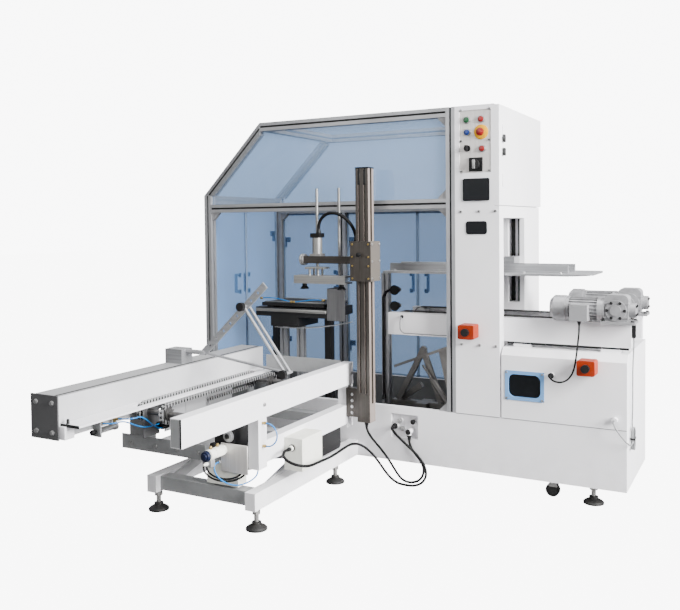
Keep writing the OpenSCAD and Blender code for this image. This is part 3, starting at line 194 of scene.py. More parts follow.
def metalFinish(name, s):  # drawn or brushed metal: streaks along one axis, stains, fine scratches
    material, w, shader = startFinish(name)
    streak = w.noise(w.coords(s["along"]), s.get("streaks", 160.0), 3.0, 0.6)
    stain = w.band(w.noise(w.coords(), 7.0, 6.0, 0.62), 0.45, 0.72)
    colour = w.blend(w.band(streak, 0.30, 0.72), tint(*s["shade"]), tint(*s["colour"]))
    if "blackAbove" in s:  # black end cap
        colour = w.blend(w.past("Z", s["blackAbove"], 0.0003), colour, tint(16, 16, 17))
    if "links" in s:  # plates of a chain along Y, with painted shade in the gaps between them
        link = w.stripes("Y", s["links"])
        colour = w.blend(w.band(link, 0.35, 0.65), tint(36, 36, 37), colour)
    if "darkRight" in s:  # linkage bars right of the inner posts
        colour = w.blend(w.past("X", s["darkRight"]), colour, tint(124, 122, 120))
    if "paintedSideLight" in s:  # painted light: the right flank brighter
        colour = w.blend(w.facing("X"), colour, tint(*s["paintedSideLight"]))
    dirt = tint(*s.get("dirt", (92, 88, 82)))
    colour = w.blend((stain * s.get("soil", 0.18)).clamped(), colour, dirt)
    rough = s["rough"] + 0.16 * streak + 0.12 * stain
    bump = w.bump(streak, s.get("bump", 0.16), 0.0004)
    join(w, shader, {"Base Color": colour, "Roughness": rough, "Normal": bump}, {"Metallic": s["metal"]})
    return material


def mouldedFinish(name, s):  # moulded plastic or rubber: spark-eroded grain and rubbed spots
    material, w, shader = startFinish(name)
    place = w.coords()
    grain = w.noise(place, s.get("grain", 520.0), 3.0)
    rub = w.band(w.noise(place, 16.0, 5.0, 0.6), 0.48, 0.70)
    colour = w.blend((rub * 0.5).clamped(), tint(*s["colour"]), tint(*s["shade"]))
    rough = s["rough"] + 0.12 * rub + 0.08 * grain
    bump = w.bump(grain, s.get("bump", 0.18), 0.0005)
    join(w, shader, {"Base Color": colour, "Roughness": rough, "Normal": bump},
         {"Coat Weight": s.get("coat", 0.0), "Specular IOR Level": s.get("gloss", 0.5)})
    return material


def sheetFinish(name, s):  # tinted clear sheet with wiped streaks
    material, w, shader = startFinish(name)
    wipe = w.noise(w.coords((1.0, 1.0, 0.22)), 9.0, 5.0, 0.6)
    cloud = w.noise(w.coords(), 1.6, 3.0)
    colour = w.blend(w.band(cloud, 0.30, 0.70), tint(*s["colour"]), tint(*s["shade"]))
    alpha = s["cover"] + 0.06 * wipe
    rough = s["rough"] + 0.10 * w.band(wipe, 0.50, 0.75)
    join(w, shader, {"Base Color": colour, "Roughness": rough, "Alpha": alpha},
         {"Specular IOR Level": 0.5, "Coat Weight": 0.25})
    return material


def footFinish(name, s):  # rubber pad below, plated stem above
    material, w, shader = startFinish(name)
    place = w.coords()
    scuff = w.band(w.noise(place, 40.0, 5.0, 0.6), 0.45, 0.72)
    isStem = w.past("Z", s["padTop"])
    pad = w.blend((scuff * 0.6).clamped(), tint(*s["colour"]), tint(*s["shade"]))
    plated = w.blend((scuff * 0.5).clamped(), tint(176, 175, 172), tint(120, 117, 112))
    bump = w.bump(w.noise(place, 380.0), 0.15, 0.0005)
    join(w, shader, {"Base Color": w.blend(isStem, pad, plated), "Roughness": s["rough"] - 0.22 * isStem,
                     "Metallic": isStem * 0.8, "Normal": bump}, {})
    return material


def castFinish(name, s):  # sand-cast metal under silver paint
    material, w, shader = startFinish(name)
    place = w.coords()
    sand = w.noise(place, 300.0, 5.0, 0.7)
    soot = w.band(w.noise(place, 22.0, 5.0, 0.6), 0.46, 0.74)
    colour = w.blend((soot * 0.5).clamped(), tint(*s["colour"]), tint(*s["shade"]))
    bump = w.bump(sand, 0.28, 0.0008)
    join(w, shader, {"Base Color": colour, "Roughness": s["rough"] + 0.18 * soot, "Normal": bump},
         {"Metallic": s["metal"]})
    return material


def beltFinish(name, s):  # ribbed rubber: fine cross ribs, dust in the grooves
    material, w, shader = startFinish(name)
    rib = w.stripes("X", s["ribs"])
    dust = w.band(w.noise(w.coords(), 60.0, 5.0), 0.48, 0.72)
    colour = w.blend((dust * 0.6).clamped(), tint(*s["colour"]), tint(*s["shade"]))
    bump = w.bump(rib, 0.5, 0.0015)
    join(w, shader, {"Base Color": colour, "Roughness": s["rough"] + 0.2 * dust, "Normal": bump}, {})
    return material


finishSet = {  # maker, colour, shade, roughness, what else the maker asks for
    "whitePaint": (paintFinish, (228, 227, 229), (222, 221, 224), 0.34, {"marks": 0.04}),
    # base paint, with painted shade inside the pan
    "basePaint": (paintFinish, (228, 227, 229), (222, 221, 224), 0.34, {
        "marks": 0.04, "inside": {"X": (-1.086, 0.354), "Y": (0.324, 1.024), "Z": (0.115, 0.4)}}),
    "greyPaint": (paintFinish, (168, 168, 170), (158, 158, 160), 0.38, {"marks": 0.14}),
    # grey paint made darker: painted shade for the bars' shaded front faces
    "barGrey": (paintFinish, (145, 146, 147), (132, 133, 134), 0.38, {"marks": 0.16, "dirt": (84, 82, 78)}),
    # guide paint, with painted shade on its upper faces
    "guidePaint": (paintFinish, (184, 184, 186), (174, 174, 176), 0.38, {
        "marks": 0.14, "paintedTopShade": (146, 146, 147), "endPlate": -1.0855}),
    "darkPaint": (paintFinish, (26, 26, 27), (18, 18, 19), 0.46, {
        "marks": 0.12, "dirt": (60, 57, 53), "gloss": 0.3}),
    "plateSatin": (metalFinish, (206, 203, 200), (190, 186, 182), 0.30, {
        "along": (1.0, 1.0, 0.03), "metal": 0.35, "soil": 0.05}),
    "profileUp": (metalFinish, (172, 173, 175), (146, 147, 150), 0.30, {
        "along": (1.0, 1.0, 0.015), "metal": 0.6}),
    "profileAcross": (metalFinish, (168, 169, 171), (142, 143, 146), 0.30, {
        "along": (0.015, 1.0, 1.0), "metal": 0.6}),
    "profileBack": (metalFinish, (150, 151, 154), (124, 125, 128), 0.30, {
        "along": (1.0, 0.015, 1.0), "metal": 0.6}),
    # painted light on the mast's right flank
    "mastSteel": (metalFinish, (66, 61, 57), (50, 47, 43), 0.26, {
        "along": (1.0, 1.0, 0.012), "metal": 0.45, "soil": 0.2, "bump": 0.05, "paintedSideLight": (150, 138, 131)}),
    "turnedSteel": (metalFinish, (188, 188, 188), (158, 158, 158), 0.26, {
        "along": (1.0, 0.05, 1.0), "metal": 0.9}),
    # chain steel with painted shade in the gaps between its plates
    "oiledChain": (metalFinish, (196, 196, 196), (170, 170, 171), 0.24, {
        "links": 16.49, "along": (1.0, 1.0, 1.0), "streaks": 30.0, "metal": 0.7, "soil": 0.12,
        "dirt": (58, 56, 54)}),
    "sprocketDark": (metalFinish, (122, 121, 120), (92, 91, 90), 0.28, {
        "along": (1.0, 1.0, 1.0), "streaks": 40.0, "metal": 0.8, "soil": 0.2, "dirt": (30, 29, 28)}),
    "folderSteel": (metalFinish, (168, 169, 171), (142, 143, 146), 0.30, {
        "along": (1.0, 1.0, 0.015), "metal": 0.6, "soil": 0.1, "darkRight": -0.094}),
    "clearBlue": (sheetFinish, (96, 138, 190), (108, 148, 198), 0.12, {"cover": 0.36}),
    "clearPale": (sheetFinish, (132, 166, 208), (146, 178, 214), 0.10, {"cover": 0.17}),
    "blackPlastic": (mouldedFinish, (10, 10, 11), (26, 26, 26), 0.44, {"gloss": 0.3}),
    "darkScreen": (mouldedFinish, (6, 8, 12), (12, 15, 20), 0.30, {"gloss": 0.25, "bump": 0.02}),
    "orangePlastic": (mouldedFinish, (134, 36, 2), (116, 30, 2), 0.44, {"gloss": 0.25}),
    "ivoryPlastic": (mouldedFinish, (226, 226, 216), (206, 205, 192), 0.46, {}),
    "paleBezel": (mouldedFinish, (104, 146, 192), (96, 138, 186), 0.40, {"bump": 0.05, "gloss": 0.25}),
    "blackCable": (mouldedFinish, (8, 8, 9), (17, 17, 17), 0.56, {"grain": 260.0, "gloss": 0.18}),
    "greyCable": (mouldedFinish, (118, 119, 120), (98, 98, 99), 0.50, {"grain": 300.0}),
    "blueTube": (mouldedFinish, (4, 112, 184), (4, 92, 158), 0.26, {"coat": 0.3, "bump": 0.03}),
    "castSilver": (castFinish, (146, 146, 148), (84, 83, 83), 0.36, {"metal": 0.35}),
    # painted light on the carriage's right flank
    "bronzePlate": (metalFinish, (70, 65, 60), (54, 50, 46), 0.28, {
        "along": (1.0, 1.0, 0.05), "metal": 0.45, "soil": 0.12, "paintedSideLight": (104, 98, 91)}),
    "armBronze": (metalFinish, (58, 53, 48), (40, 37, 34), 0.34, {
        "along": (0.03, 1.0, 1.0), "metal": 0.4, "soil": 0.1}),
    "headSilver": (metalFinish, (158, 157, 154), (128, 127, 125), 0.28, {
        "along": (1.0, 1.0, 0.02), "metal": 0.65, "soil": 0.1, "blackAbove": 1.186}),
    "stopSteel": (metalFinish, (112, 112, 113), (92, 92, 94), 0.34, {
        "along": (1.0, 1.0, 0.03), "metal": 0.6, "soil": 0.1}),
    "profileSlope": (metalFinish, (146, 147, 149), (122, 123, 126), 0.30, {
        "along": (1.0, 0.015, 1.0), "metal": 0.6}),
    "barSilver": (metalFinish, (158, 157, 154), (128, 127, 125), 0.28, {
        "along": (0.02, 1.0, 1.0), "metal": 0.65, "soil": 0.1}),
    "ribbedBelt": (beltFinish, (20, 19, 18), (44, 42, 39), 0.62, {"ribs": 60.0}),
    "navyPlastic": (mouldedFinish, (6, 16, 44), (10, 22, 54), 0.36, {"gloss": 0.3}),
    "brassFitting": (metalFinish, (184, 160, 104), (150, 128, 80), 0.28, {
        "along": (1.0, 1.0, 1.0), "metal": 0.85}),
    "greyRubber": (mouldedFinish, (120, 140, 166), (132, 152, 178), 0.6, {"gloss": 0.2}),
    # grey for the seam strips, painted shade
    "gasketGrey": (mouldedFinish, (104, 104, 106), (120, 120, 122), 0.6, {"gloss": 0.2}),
    "footRubber": (footFinish, (18, 18, 18), (46, 44, 41), 0.55, {"padTop": 0.034}),
    "casterWheel": (footFinish, (18, 18, 18), (46, 44, 41), 0.55, {"padTop": 0.052}),
    "buttonRed": (mouldedFinish, (124, 6, 5), (104, 5, 5), 0.26, {"coat": 0.4, "bump": 0.03}),
    "buttonGreen": (mouldedFinish, (3, 70, 34), (3, 58, 30), 0.26, {"coat": 0.4, "bump": 0.03}),
    "buttonBlue": (mouldedFinish, (5, 38, 104), (4, 32, 90), 0.26, {"coat": 0.4, "bump": 0.03}),
    "ringYellow": (mouldedFinish, (206, 150, 2), (190, 134, 2), 0.40, {"gloss": 0.3}),
}
finishes = {}
for name, (make, colour, shade, rough, more) in finishSet.items():
    finishes[name] = make(name, {"colour": colour, "shade": shade, "rough": rough, **more})
print("finishes made:", len(finishes))

slotFinish = {
    "white_paint": "whitePaint", "grey_paint": "greyPaint", "dark_paint": "darkPaint",
    "profile_alu": "profileAcross", "steel": "turnedSteel", "nickel": "mastSteel", "clear_sheet": "clearBlue",
    "black_plastic": "blackPlastic", "screen": "darkScreen", "buttons": "buttonRed",
    "orange_plastic": "orangePlastic", "ivory_plastic": "ivoryPlastic", "belt_rubber": "ribbedBelt",
    "chain_steel": "oiledChain", "bezel": "paleBezel", "cable_black": "blackCable", "tube_blue": "blueTube",
    "motor_cast": "castSilver",
}
nodeFinish = {  # nodes that look or run otherwise than their slot
    "enclosure_posts": "profileUp", "enclosure_cross_rails": "profileBack",
    "enclosure_slopes": "profileSlope", "control_plate": "plateSatin", "sensor_cable": "greyCable",
    "sensor_hank": "greyCable", "upper_panes": "clearPale", "magazine_guide": "guidePaint",
    "levelling_feet": "footRubber", "casters": "casterWheel", "press_plate": "profileAcross",
    "magazine_crossmembers": "barGrey", "stand_crossbars": "barGrey", "carriage": "bronzePlate",
    "head_arm": "armBronze", "suction_bar": "barSilver", "head_cylinder": "headSilver",
    "base_walls": "basePaint", "base_body": "basePaint", "chain_sprockets": "sprocketDark",
    "flap_folders": "folderSteel",
}
for part in frame["record"]["subparts"]:
    mesh = nodes[part["node"]].data
    mesh.materials.clear()
    mesh.materials.append(finishes[nodeFinish.get(part["node"], slotFinish[part["material_slot"]])])
print("nodes finished")


def ridden(piece, slotName, finish, body="machine"):
    piece.data.materials.clear()
    piece.data.materials.append(finishes[finish])
    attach(piece, body)
    return piece


def arc(middle, first, second, steps):  # quarter turn from middle + first to middle + second
    turns = [k * math.pi / 2 / steps for k in range(steps + 1)]
    return [tuple(round(m + a * math.cos(t) + b * math.sin(t), 1) for m, a, b in zip(middle, first, second))
            for t in turns]


def overTable(foot, rise, hump, steps=15):  # tube along X over the former table, eased in Z
    line = []
    for t in [k / steps for k in range(steps + 1)]:
        z = foot[1] + rise[1] * t * t * (3 - 2 * t) + hump * math.sin(math.pi * t)
        line.append((round(foot[0] + rise[0] * t, 1), 213, round(z, 1)))
    return line


def shares(count):  # even steps from 0 to 1
    return [k / (count - 1) for k in range(count)]


def even(line, count):  # points spaced evenly along a fine line, to a tenth of a millimetre
    runs = [0.0]
    for a, b in zip(line, line[1:]):
        runs.append(runs[-1] + math.dist(a, b))
    points, i = [], 0
    for want in [runs[-1] * share for share in shares(count)]:
        while i < len(line) - 2 and runs[i + 1] < want:
            i += 1
        part = (want - runs[i]) / (runs[i + 1] - runs[i])
        points.append(tuple(round(a + (b - a) * part, 1) for a, b in zip(line[i], line[i + 1])))
    return points


def clampTube(y, lead, radius, fall, sag, count):  # from the valves, slowly up and round to the cylinder
    x, z, valveY = 394, 453, -905
    line = [(x, y, z), (x + lead, y, z)]
    for q in [share * math.pi / 2 for share in shares(60)]:
        line.append((x + lead + radius * math.sin(q), y + radius * (1 - math.cos(q)), z))
    side, bendEnd = x + lead + radius, y + radius
    for k in shares(200)[1:]:
        drop = fall * (3 * k * k - 2 * k ** 3) + sag * math.sin(math.pi * k) ** 2
        line.append((side, bendEnd + (valveY - bendEnd) * k, z - drop))
    return even(line[::-1], count)


def postLoop(x, y, low, high, count):  # half ring between two fittings on the post
    middle, radius = (low + high) / 2, (high - low) / 2
    line = [(x, y, high), (x + 3, y, high)]
    for q in [share * math.pi for share in shares(90)]:
        line.append((x + 6 + radius * math.sin(q), y + 3 * math.sin(q), middle + radius * math.cos(q)))
    return even(line + [(x + 3, y, low), (x, y, low)], count)


def slack(foot, footPull, endPull, end, count):  # free loop between two glands, drawn by two pulls
    line = []
    for k in shares(200):
        weights = ((1 - k) ** 3, 3 * (1 - k) ** 2 * k, 3 * (1 - k) * k * k, k ** 3)
        line.append([sum(w * c for w, c in zip(weights, axis)) for axis in zip(foot, footPull, endPull, end)])
    return even(line, count)


def hankTurn(x):  # one turn of the tied hank, on to the next turn's start
    loop = [(100.5, 304.5), (100.5, 273), (97.3, 263.3), (89.1, 257.3), (78.9, 257.3), (70.7, 263.3),
            (67.5, 273), (67.5, 304.5), (67.5, 336)]
    over = [(1.2, 70.7, 345.7), (2.4, 78.9, 351.7), (3.6, 89.1, 351.7), (4.8, 97.3, 345.7), (6, 100.5, 332)]
    return [(x, y, z) for y, z in loop] + [(round(x + step, 1), y, z) for step, y, z in over]


cordKinds = {"lead": ("blackCable", "cable_black"), "wire": ("greyCable", "grey_paint"),
             "tube": ("blueTube", "tube_blue")}  # finish and slot
cordSet = {
    "standLead": {"kind": "lead", "thick": 12, "node": ["stand_cable"], "lay": "loose", "route": [
        (985, -710, 300), (985, -750.1, 300), (1001.6, -786.5, 293.2), (1033.5, -806.4, 281.6),
        (1070.1, -800, 268.6), (1094.7, -770.8, 258.3), (1101.4, -732, 251.9), (1098.5, -692.2, 247.3),
        (1092.6, -652.7, 242.5), (1085.6, -613.5, 237.1), (1078.3, -574.4, 231.5), (1071, -535.2, 226.2),
        (1063.8, -496, 221.4), (1057, -456.5, 217.6), (1051, -416.8, 215.3), (1045.4, -377.1, 213.7),
        (1040.3, -337.2, 212.8), (1036.1, -297.2, 212.2), (1033.9, -257.1, 211), (1035.4, -217.2, 206.7),
        (1043.1, -179.4, 196), (1058.6, -148.4, 176.2), (1079.3, -126.9, 149.4), (1101.4, -113.3, 118.8),
        (1123.6, -105, 86.3), (1147.4, -100.4, 54.3), (1176.3, -99, 26.7), (1212.6, -100.3, 9.9),
        (1252.4, -101.5, 6.6), (1292.4, -98.9, 8.3), (1328.2, -91, 23.7), (1346.9, -81.4, 56.9),
        (1340.8, -76.8, 95.8), (1320.1, -77.9, 130.1), (1293.6, -82.7, 159.9), (1264.8, -89.1, 187.2),
        (1234.2, -93.3, 212.8), (1201.7, -88.5, 235.6), (1171.6, -67.2, 250.3), (1150, -32.1, 254),
        (1150, 8, 254)]},
    "mastLead": {"kind": "lead", "thick": 12, "node": ["mast_cable"], "lay": "loose", "route": [
        (1046, -100, 290), (1046, -100, 259.9), (1054.8, -95, 231.5), (1069.1, -87.4, 206.1),
        (1085.8, -79, 182.5), (1103.2, -71, 159.2), (1120.5, -64.2, 135.6), (1137.5, -59, 111.3),
        (1154.2, -55.6, 86.4), (1171.1, -54.1, 61.6), (1189.6, -54.9, 37.8), (1212.2, -58, 18.3),
        (1240.3, -60.1, 8.4), (1270.1, -56.9, 9.2), (1296.8, -48.9, 19.9), (1313, -38.8, 42.6),
        (1314, -29.4, 70.9), (1301.7, -22.1, 97.2), (1281.8, -16.9, 119.1), (1260.1, -13.4, 139.7),
        (1241.6, -11.1, 163.2), (1232, -10, 191.5), (1232, -10, 221.6)]},
    "motorLead": {"kind": "lead", "thick": 8, "node": ["motor_cable"], "route": [
        (1922, -20, 570), (1922, -39.7, 570), (1928.3, -57.8, 565.9), (1941.7, -70.5, 559.5),
        (1960.1, -75, 554.7), (1979.3, -71.6, 554.9), (1996, -63.4, 561.3), (2008.9, -54.2, 572.9),
        (2018.1, -46.2, 588.4), (2024.3, -39.8, 606), (2028.3, -34.7, 624.6), (2031, -30.6, 643.8),
        (2033.1, -27.1, 663.1), (2034.9, -24, 682.5), (2036.7, -21.3, 702), (2038.5, -19.1, 721.5),
        (2040.2, -17.3, 741.1), (2041.6, -16.1, 760.8), (2042.6, -15.3, 780.5), (2043, -15, 800.3),
        (2043, -15, 820)]},
    "sensorLead": {"kind": "wire", "thick": 6, "stiff": "limp", "node": ["sensor_cable", "sensor_hank"],
                   "route": [
        (2255, 85, 745), (2255, 85, 725), (2254, 85, 680), (2252, 84, 630), (2251, 84, 580),
        (2251, 84, 530), (2251, 84, 480), (2250.5, 84, 440), (2249.5, 86, 408), (2248, 92, 382),
        (2247, 98.5, 358), (2247, 100.5, 332), *hankTurn(2247), *hankTurn(2253), (2259, 100.5, 304.5),
        (2259, 100.5, 273), (2259, 97.3, 263.3), (2259, 89.1, 257.3), (2259, 78.9, 257.3),
        (2259, 70.7, 263.3), (2259, 67.5, 273), (2259, 66, 283), (2258.5, 59.5, 292), (2258, 48.5, 295.8),
        (2257, 34, 293.5), (2256, 14, 291), (2255, -6, 295), (2249, -24, 304), (2238, -38, 319),
        (2224, -47, 339), (2209, -51, 361), (2198, -50, 380), (2192, -44, 393), (2191, -33, 397),
        (2191, -20.2, 397)]},
    "vacuumHose": {"kind": "lead", "thick": 16, "node": ["vacuum_hose"], "body": "pick_carriage", "route": [
        (796, -112, 1208), (796, -112, 1224), (798, -114, 1242), (806, -118, 1264), (822, -123, 1284),
        (845, -127, 1299), (874, -130, 1307), (904, -130, 1305), (934, -127, 1293), (961, -121, 1272),
        (982, -113, 1244), (994, -106, 1212), (999, -103, 1186), (999, -103, 1168)]},
    "airTube": {"kind": "tube", "thick": 6, "node": ["air_tube"], "lay": "loose", "route": [
        (750, -897.2, 262), (750.2, -913.3, 261.6), (753.9, -927.9, 255.2), (760.7, -938, 244.5),
        (769.8, -942.7, 231.9), (780.4, -942.4, 219.4), (791.9, -939, 208.3), (804.3, -933.8, 199),
        (817.8, -927.9, 191.8), (832, -921.6, 187), (846.7, -914.8, 184.8), (861.3, -907.3, 185.3),
        (875.2, -899.2, 188.3), (887.9, -890.3, 193.3), (899.3, -880.6, 200), (909, -870.4, 208.3),
        (916.4, -860.6, 219), (920, -855, 233.7), (920, -855, 250)]},
    "clampTubeFront": {"kind": "tube", "thick": 6, "route": clampTube(-1190, 3, 43, 61, 14, 22)},
    "clampTubeRear": {"kind": "tube", "thick": 6, "route": clampTube(-1102, 4, 55, 77, 0, 20)},
    "postTube": {"kind": "tube", "thick": 6, "route": postLoop(960, -853, 345, 440, 20)},
    "filterLeadFront": {"kind": "lead", "thick": 8, "route": slack(
        (860, -862, 255), (864, -880, 160), (688, -994, 210), (700, -883, 274), 18)},
    "filterLeadRear": {"kind": "lead", "thick": 8, "route": slack(
        (876, -862, 255), (880, -884, 150), (672, -1006, 200), (684, -883, 274), 18)},
    "unitHose": {"kind": "lead", "thick": 12, "route":
                 arc((1040, 223, 856), (0, 0, 52), (-52, 0, 0), 6)
                 + [(988, 223, 856 - 43.5 * k) for k in range(1, 13)]},
    "beamLead": {"kind": "wire", "thick": 6, "route":
                 arc((1167, 64, 764), (0, 0, 26), (0, -26, 0), 4) + [(1167, 38, 751)]
                 + arc((1193, 38, 738), (-26, 0, 0), (0, 0, -26), 4)
                 + [(1193 + 35 * k, 38, 712) for k in range(1, 6)]
                 + arc((1403, 64, 712), (0, -26, 0), (26, 0, 0), 4)},
    "tableTubeLeft": {"kind": "tube", "thick": 6, "route": overTable((232, 838), (196, -15), 9)},
    "tableTubeRight": {"kind": "tube", "thick": 6, "route": overTable((446, 823), (186, 15), 5)},
}


def smoothRoute(points, steps=4):  # points between the given ones, on one smooth line through them all
    line = []
    for i in range(len(points) - 1):
        a, b = points[max(i - 1, 0)], points[i]
        c, d = points[i + 1], points[min(i + 2, len(points) - 1)]
        for k in range(steps):
            t = k / steps
            curve = (2 * a - 5 * b + 4 * c - d) * t ** 2 + (3 * b - a - 3 * c + d) * t ** 3
            line.append(0.5 * (2 * b + (c - a) * t + curve))
    return line + [points[-1]]


def makeCord(name, s):
    line = smoothRoute([at(*p) for p in s["route"]])
    data = bpy.data.curves.new(name, "CURVE")
    data.dimensions = "3D"
    data.bevel_depth = s["thick"] / 2000
    data.bevel_resolution = 3
    data.use_fill_caps = True
    spline = data.splines.new("POLY")
    spline.points.add(len(line) - 1)
    for point, place in zip(spline.points, line):
        point.co = (*place, 1)
    spline.use_smooth = True
    cord = bpy.data.objects.new(name, data)
    bpy.context.scene.collection.objects.link(cord)
    length = sum((b - a).length for a, b in zip(line, line[1:]))
    finish, slotName = cordKinds[s["kind"]]
    ridden(cord, slotName, finish, s.get("body", "machine"))
    if "node" in s:
        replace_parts(cord, *s["node"])
    s["thick"] / 1000


for name, settings in cordSet.items():
    makeCord(name, settings)
print("cords laid:", len(cordSet))

stageSet = {"floor": 60.0, "floorTint": (246, 246, 246), "bounce": (100, 100, 101),
            "speckle": (96, 96, 97), "air": (250, 250, 251), "paperShare": 0.92,
            "frontAir": 0.34, "backAir": 1.0, "room": (164, 190, 224), "roomAir": 1.2, "paper": 10.0,
            "key": {"place": (5.2, -0.8, 2.6), "aim": (0.5, 0.0, 0.8), "size": 3.0, "power": 1800.0},
            "fill": {"place": (-1.8, -5.2, 3.0), "aim": (0.0, -0.2, 0.7), "size": 3.5, "power": 90.0},
            "top": {"place": (0.0, -0.4, 5.0), "aim": (0.0, 0.0, 0.0), "size": 4.0, "power": 260.0}}

bpy.ops.object.select_all(action="DESELECT")
bpy.ops.mesh.primitive_plane_add(size=stageSet["floor"])
floor = bpy.context.object
floor.name = "studioFloor"
floorFinish, w, shader = startFinish("paleFloor")
speckle = w.noise(w.coords(), 2.0, 3.0)
bounce = w.blend(w.band(speckle, 0.3, 0.7), tint(*stageSet["bounce"]), tint(*stageSet["speckle"]))
join(w, shader, {"Base Color": bounce}, {"Roughness": 0.85, "Specular IOR Level": 0.1})
paper = w.node("ShaderNodeEmission", None,
               {"Color": tint(*stageSet["floorTint"]), "Strength": stageSet["paper"]})
seen, direct = w.sight()
room = w.node("ShaderNodeEmission", None, {"Color": tint(*stageSet["room"]), "Strength": stageSet["roomAir"]})
lit = w.node("ShaderNodeMixShader", None, {0: seen - direct, 1: Wire(w.tree, shader.outputs[0]), 2: room})
sweep = w.node("ShaderNodeMixShader", None, {0: direct * stageSet["paperShare"], 1: lit, 2: paper})
w.tree.links.new(sweep.socket, w.tree.nodes["Material Output"].inputs["Surface"])
floor.data.materials.append(floorFinish)

world = bpy.data.worlds.new("studioAir")
bpy.context.scene.world = world
world.use_nodes = True
w = Wire(world.node_tree)
seen, direct = w.sight()
air = world.node_tree.nodes["Background"]
way = w.node("ShaderNodeSeparateXYZ", None, {0: w.node("ShaderNodeTexCoord", out="Generated")}, "Y")
glow = stageSet["frontAir"] + (stageSet["backAir"] - stageSet["frontAir"]) * w.band(way, -0.7, 0.9)
through = (seen - direct) * stageSet["roomAir"]
plain = direct * (stageSet["paperShare"] * stageSet["paper"])
join(w, air, {"Color": w.blend(seen - direct, tint(*stageSet["air"]), tint(*stageSet["room"])),
              "Strength": glow * (1 - seen) + through + plain}, {})
for name in ("key", "fill", "top"):
    s = stageSet[name]
    aim = (Vector(s["aim"]) - Vector(s["place"])).to_track_quat("-Z", "Y").to_euler()
    bpy.ops.object.light_add(type="AREA", location=s["place"], rotation=aim)
    lamp = bpy.context.object
    lamp.name = name + "Light"
    lamp.data.size = s["size"]
    lamp.data.energy = s["power"]
print("stage lit")


def deselect():
    bpy.ops.object.select_all(action="DESELECT")


def only(piece):  # selects this piece alone
    deselect()
    piece.select_set(True)
    bpy.context.view_layer.objects.active = piece


def start(name, kind, **size):  # a primitive to shape, alone in the selection
    deselect()
    getattr(bpy.ops.mesh, "primitive_" + kind + "_add")(**size)
    piece = bpy.context.object
    piece.name = name
    piece.data.name = name
    return piece


def pick(piece, test):  # selects the faces that pass the test on centre and normal
    for group in (piece.data.vertices, piece.data.edges, piece.data.polygons):
        group.foreach_set("select", [False] * len(group))
    for face in piece.data.polygons:
        face.select = bool(test(face.center, face.normal))


def work(piece, test, *steps):  # edit-mode operators on the picked faces
    only(piece)
    bpy.ops.object.mode_set(mode="EDIT")
    bpy.ops.mesh.select_mode(type="FACE")
    bpy.ops.object.mode_set(mode="OBJECT")
    pick(piece, test)
    bpy.ops.object.mode_set(mode="EDIT")
    for tool, options in steps:
        getattr(bpy.ops.mesh, tool)(**options)
    bpy.ops.object.mode_set(mode="OBJECT")
    return piece


def stood(place, way):  # stands a piece on its place, its Z along this way
    return Matrix.Translation(place) @ Vector(way).to_track_quat("Z", "Y").to_matrix().to_4x4()


def settle(piece):  # the place goes into the mesh
    only(piece)
    bpy.ops.object.transform_apply(location=True, rotation=True, scale=True)
    return piece


def soften(piece, width, segments=2):
    only(piece)
    edge = piece.modifiers.new("edge", "BEVEL")
    edge.width = width / 1000
    edge.segments = segments
    edge.limit_method = "ANGLE"
    edge.angle_limit = math.radians(35)
    bpy.ops.object.modifier_apply(modifier=edge.name)
    bpy.ops.object.shade_smooth_by_angle(angle=math.radians(40))
    return piece


def joined(name, pieces):
    deselect()
    for piece in pieces:
        piece.select_set(True)
    bpy.context.view_layer.objects.active = pieces[0]
    if len(pieces) > 1:
        bpy.ops.object.join()
    whole = bpy.context.view_layer.objects.active
    whole.name = name
    whole.data.name = name
    return settle(whole)


def slab(name, x, y, z, soft=1.5, segments=2):  # block between mm pairs, with broken edges
    low, high = at(x[0], y[0], z[0]), at(x[1], y[1], z[1])
    piece = start(name, "cube", size=1, location=(low + high) / 2)
    piece.scale = high - low
    return soften(settle(piece), soft, segments)


def turned(name, foot, way, steps, sides=24, soft=0.6):  # round piece, (radius, rise) in mm along way
    first = steps[0]
    piece = start(name, "cylinder", vertices=sides, radius=first[0] / 1000, depth=first[1] / 1000,
                  location=(0, 0, first[1] / 2000))
    settle(piece)
    for radius, rise in steps[1:]:
        last = max(v.co.z for v in piece.data.vertices)
        wide = max(math.hypot(v.co.x, v.co.y) for v in piece.data.vertices if v.co.z > last - 1e-6)
        isTop = lambda c, n, last=last: n.z > 0.9 and c.z > last - 1e-6
        ratio = radius / 1000 / wide
        work(piece, isTop, ("extrude_region_move", {"TRANSFORM_OT_translate": {"value": (0, 0, 0)}}))
        bpy.ops.object.mode_set(mode="EDIT")
        bpy.ops.transform.resize(value=(ratio, ratio, 1), center_override=(0, 0, last))
        bpy.ops.mesh.extrude_region_move(TRANSFORM_OT_translate={"value": (0, 0, rise / 1000)})
        bpy.ops.object.mode_set(mode="OBJECT")
    if soft:
        soften(piece, soft)
    piece.matrix_world = stood(foot, way)
    return settle(piece)


def stamped(name, master, spots):  # copies of one piece, each on its spot and facing its way
    copies = []
    for place, way in spots:
        copy = master.copy()
        copy.data = master.data.copy()
        bpy.context.scene.collection.objects.link(copy)
        copy.matrix_world = stood(place, way)
        copies.append(copy)
    return joined(name, copies)


front, right, left, up, back, down = (0, -1, 0), (1, 0, 0), (-1, 0, 0), (0, 0, 1), (0, 1, 0), (0, 0, -1)
origin = Vector((0, 0, 0))


def socketScrew(size):  # cap screw with its hexagon socket, head only
    head = turned("capScrew", origin, up, [(size * 0.8, size * 0.7)], 18, 0.35)
    isTop = lambda c, n: n.z > 0.9 and c.z > size * 0.00065
    work(head, isTop, ("inset", {"thickness": size * 0.00032}),
         ("extrude_region_move", {"TRANSFORM_OT_translate": {"value": (0, 0, -size * 0.0004)}}))
    return head


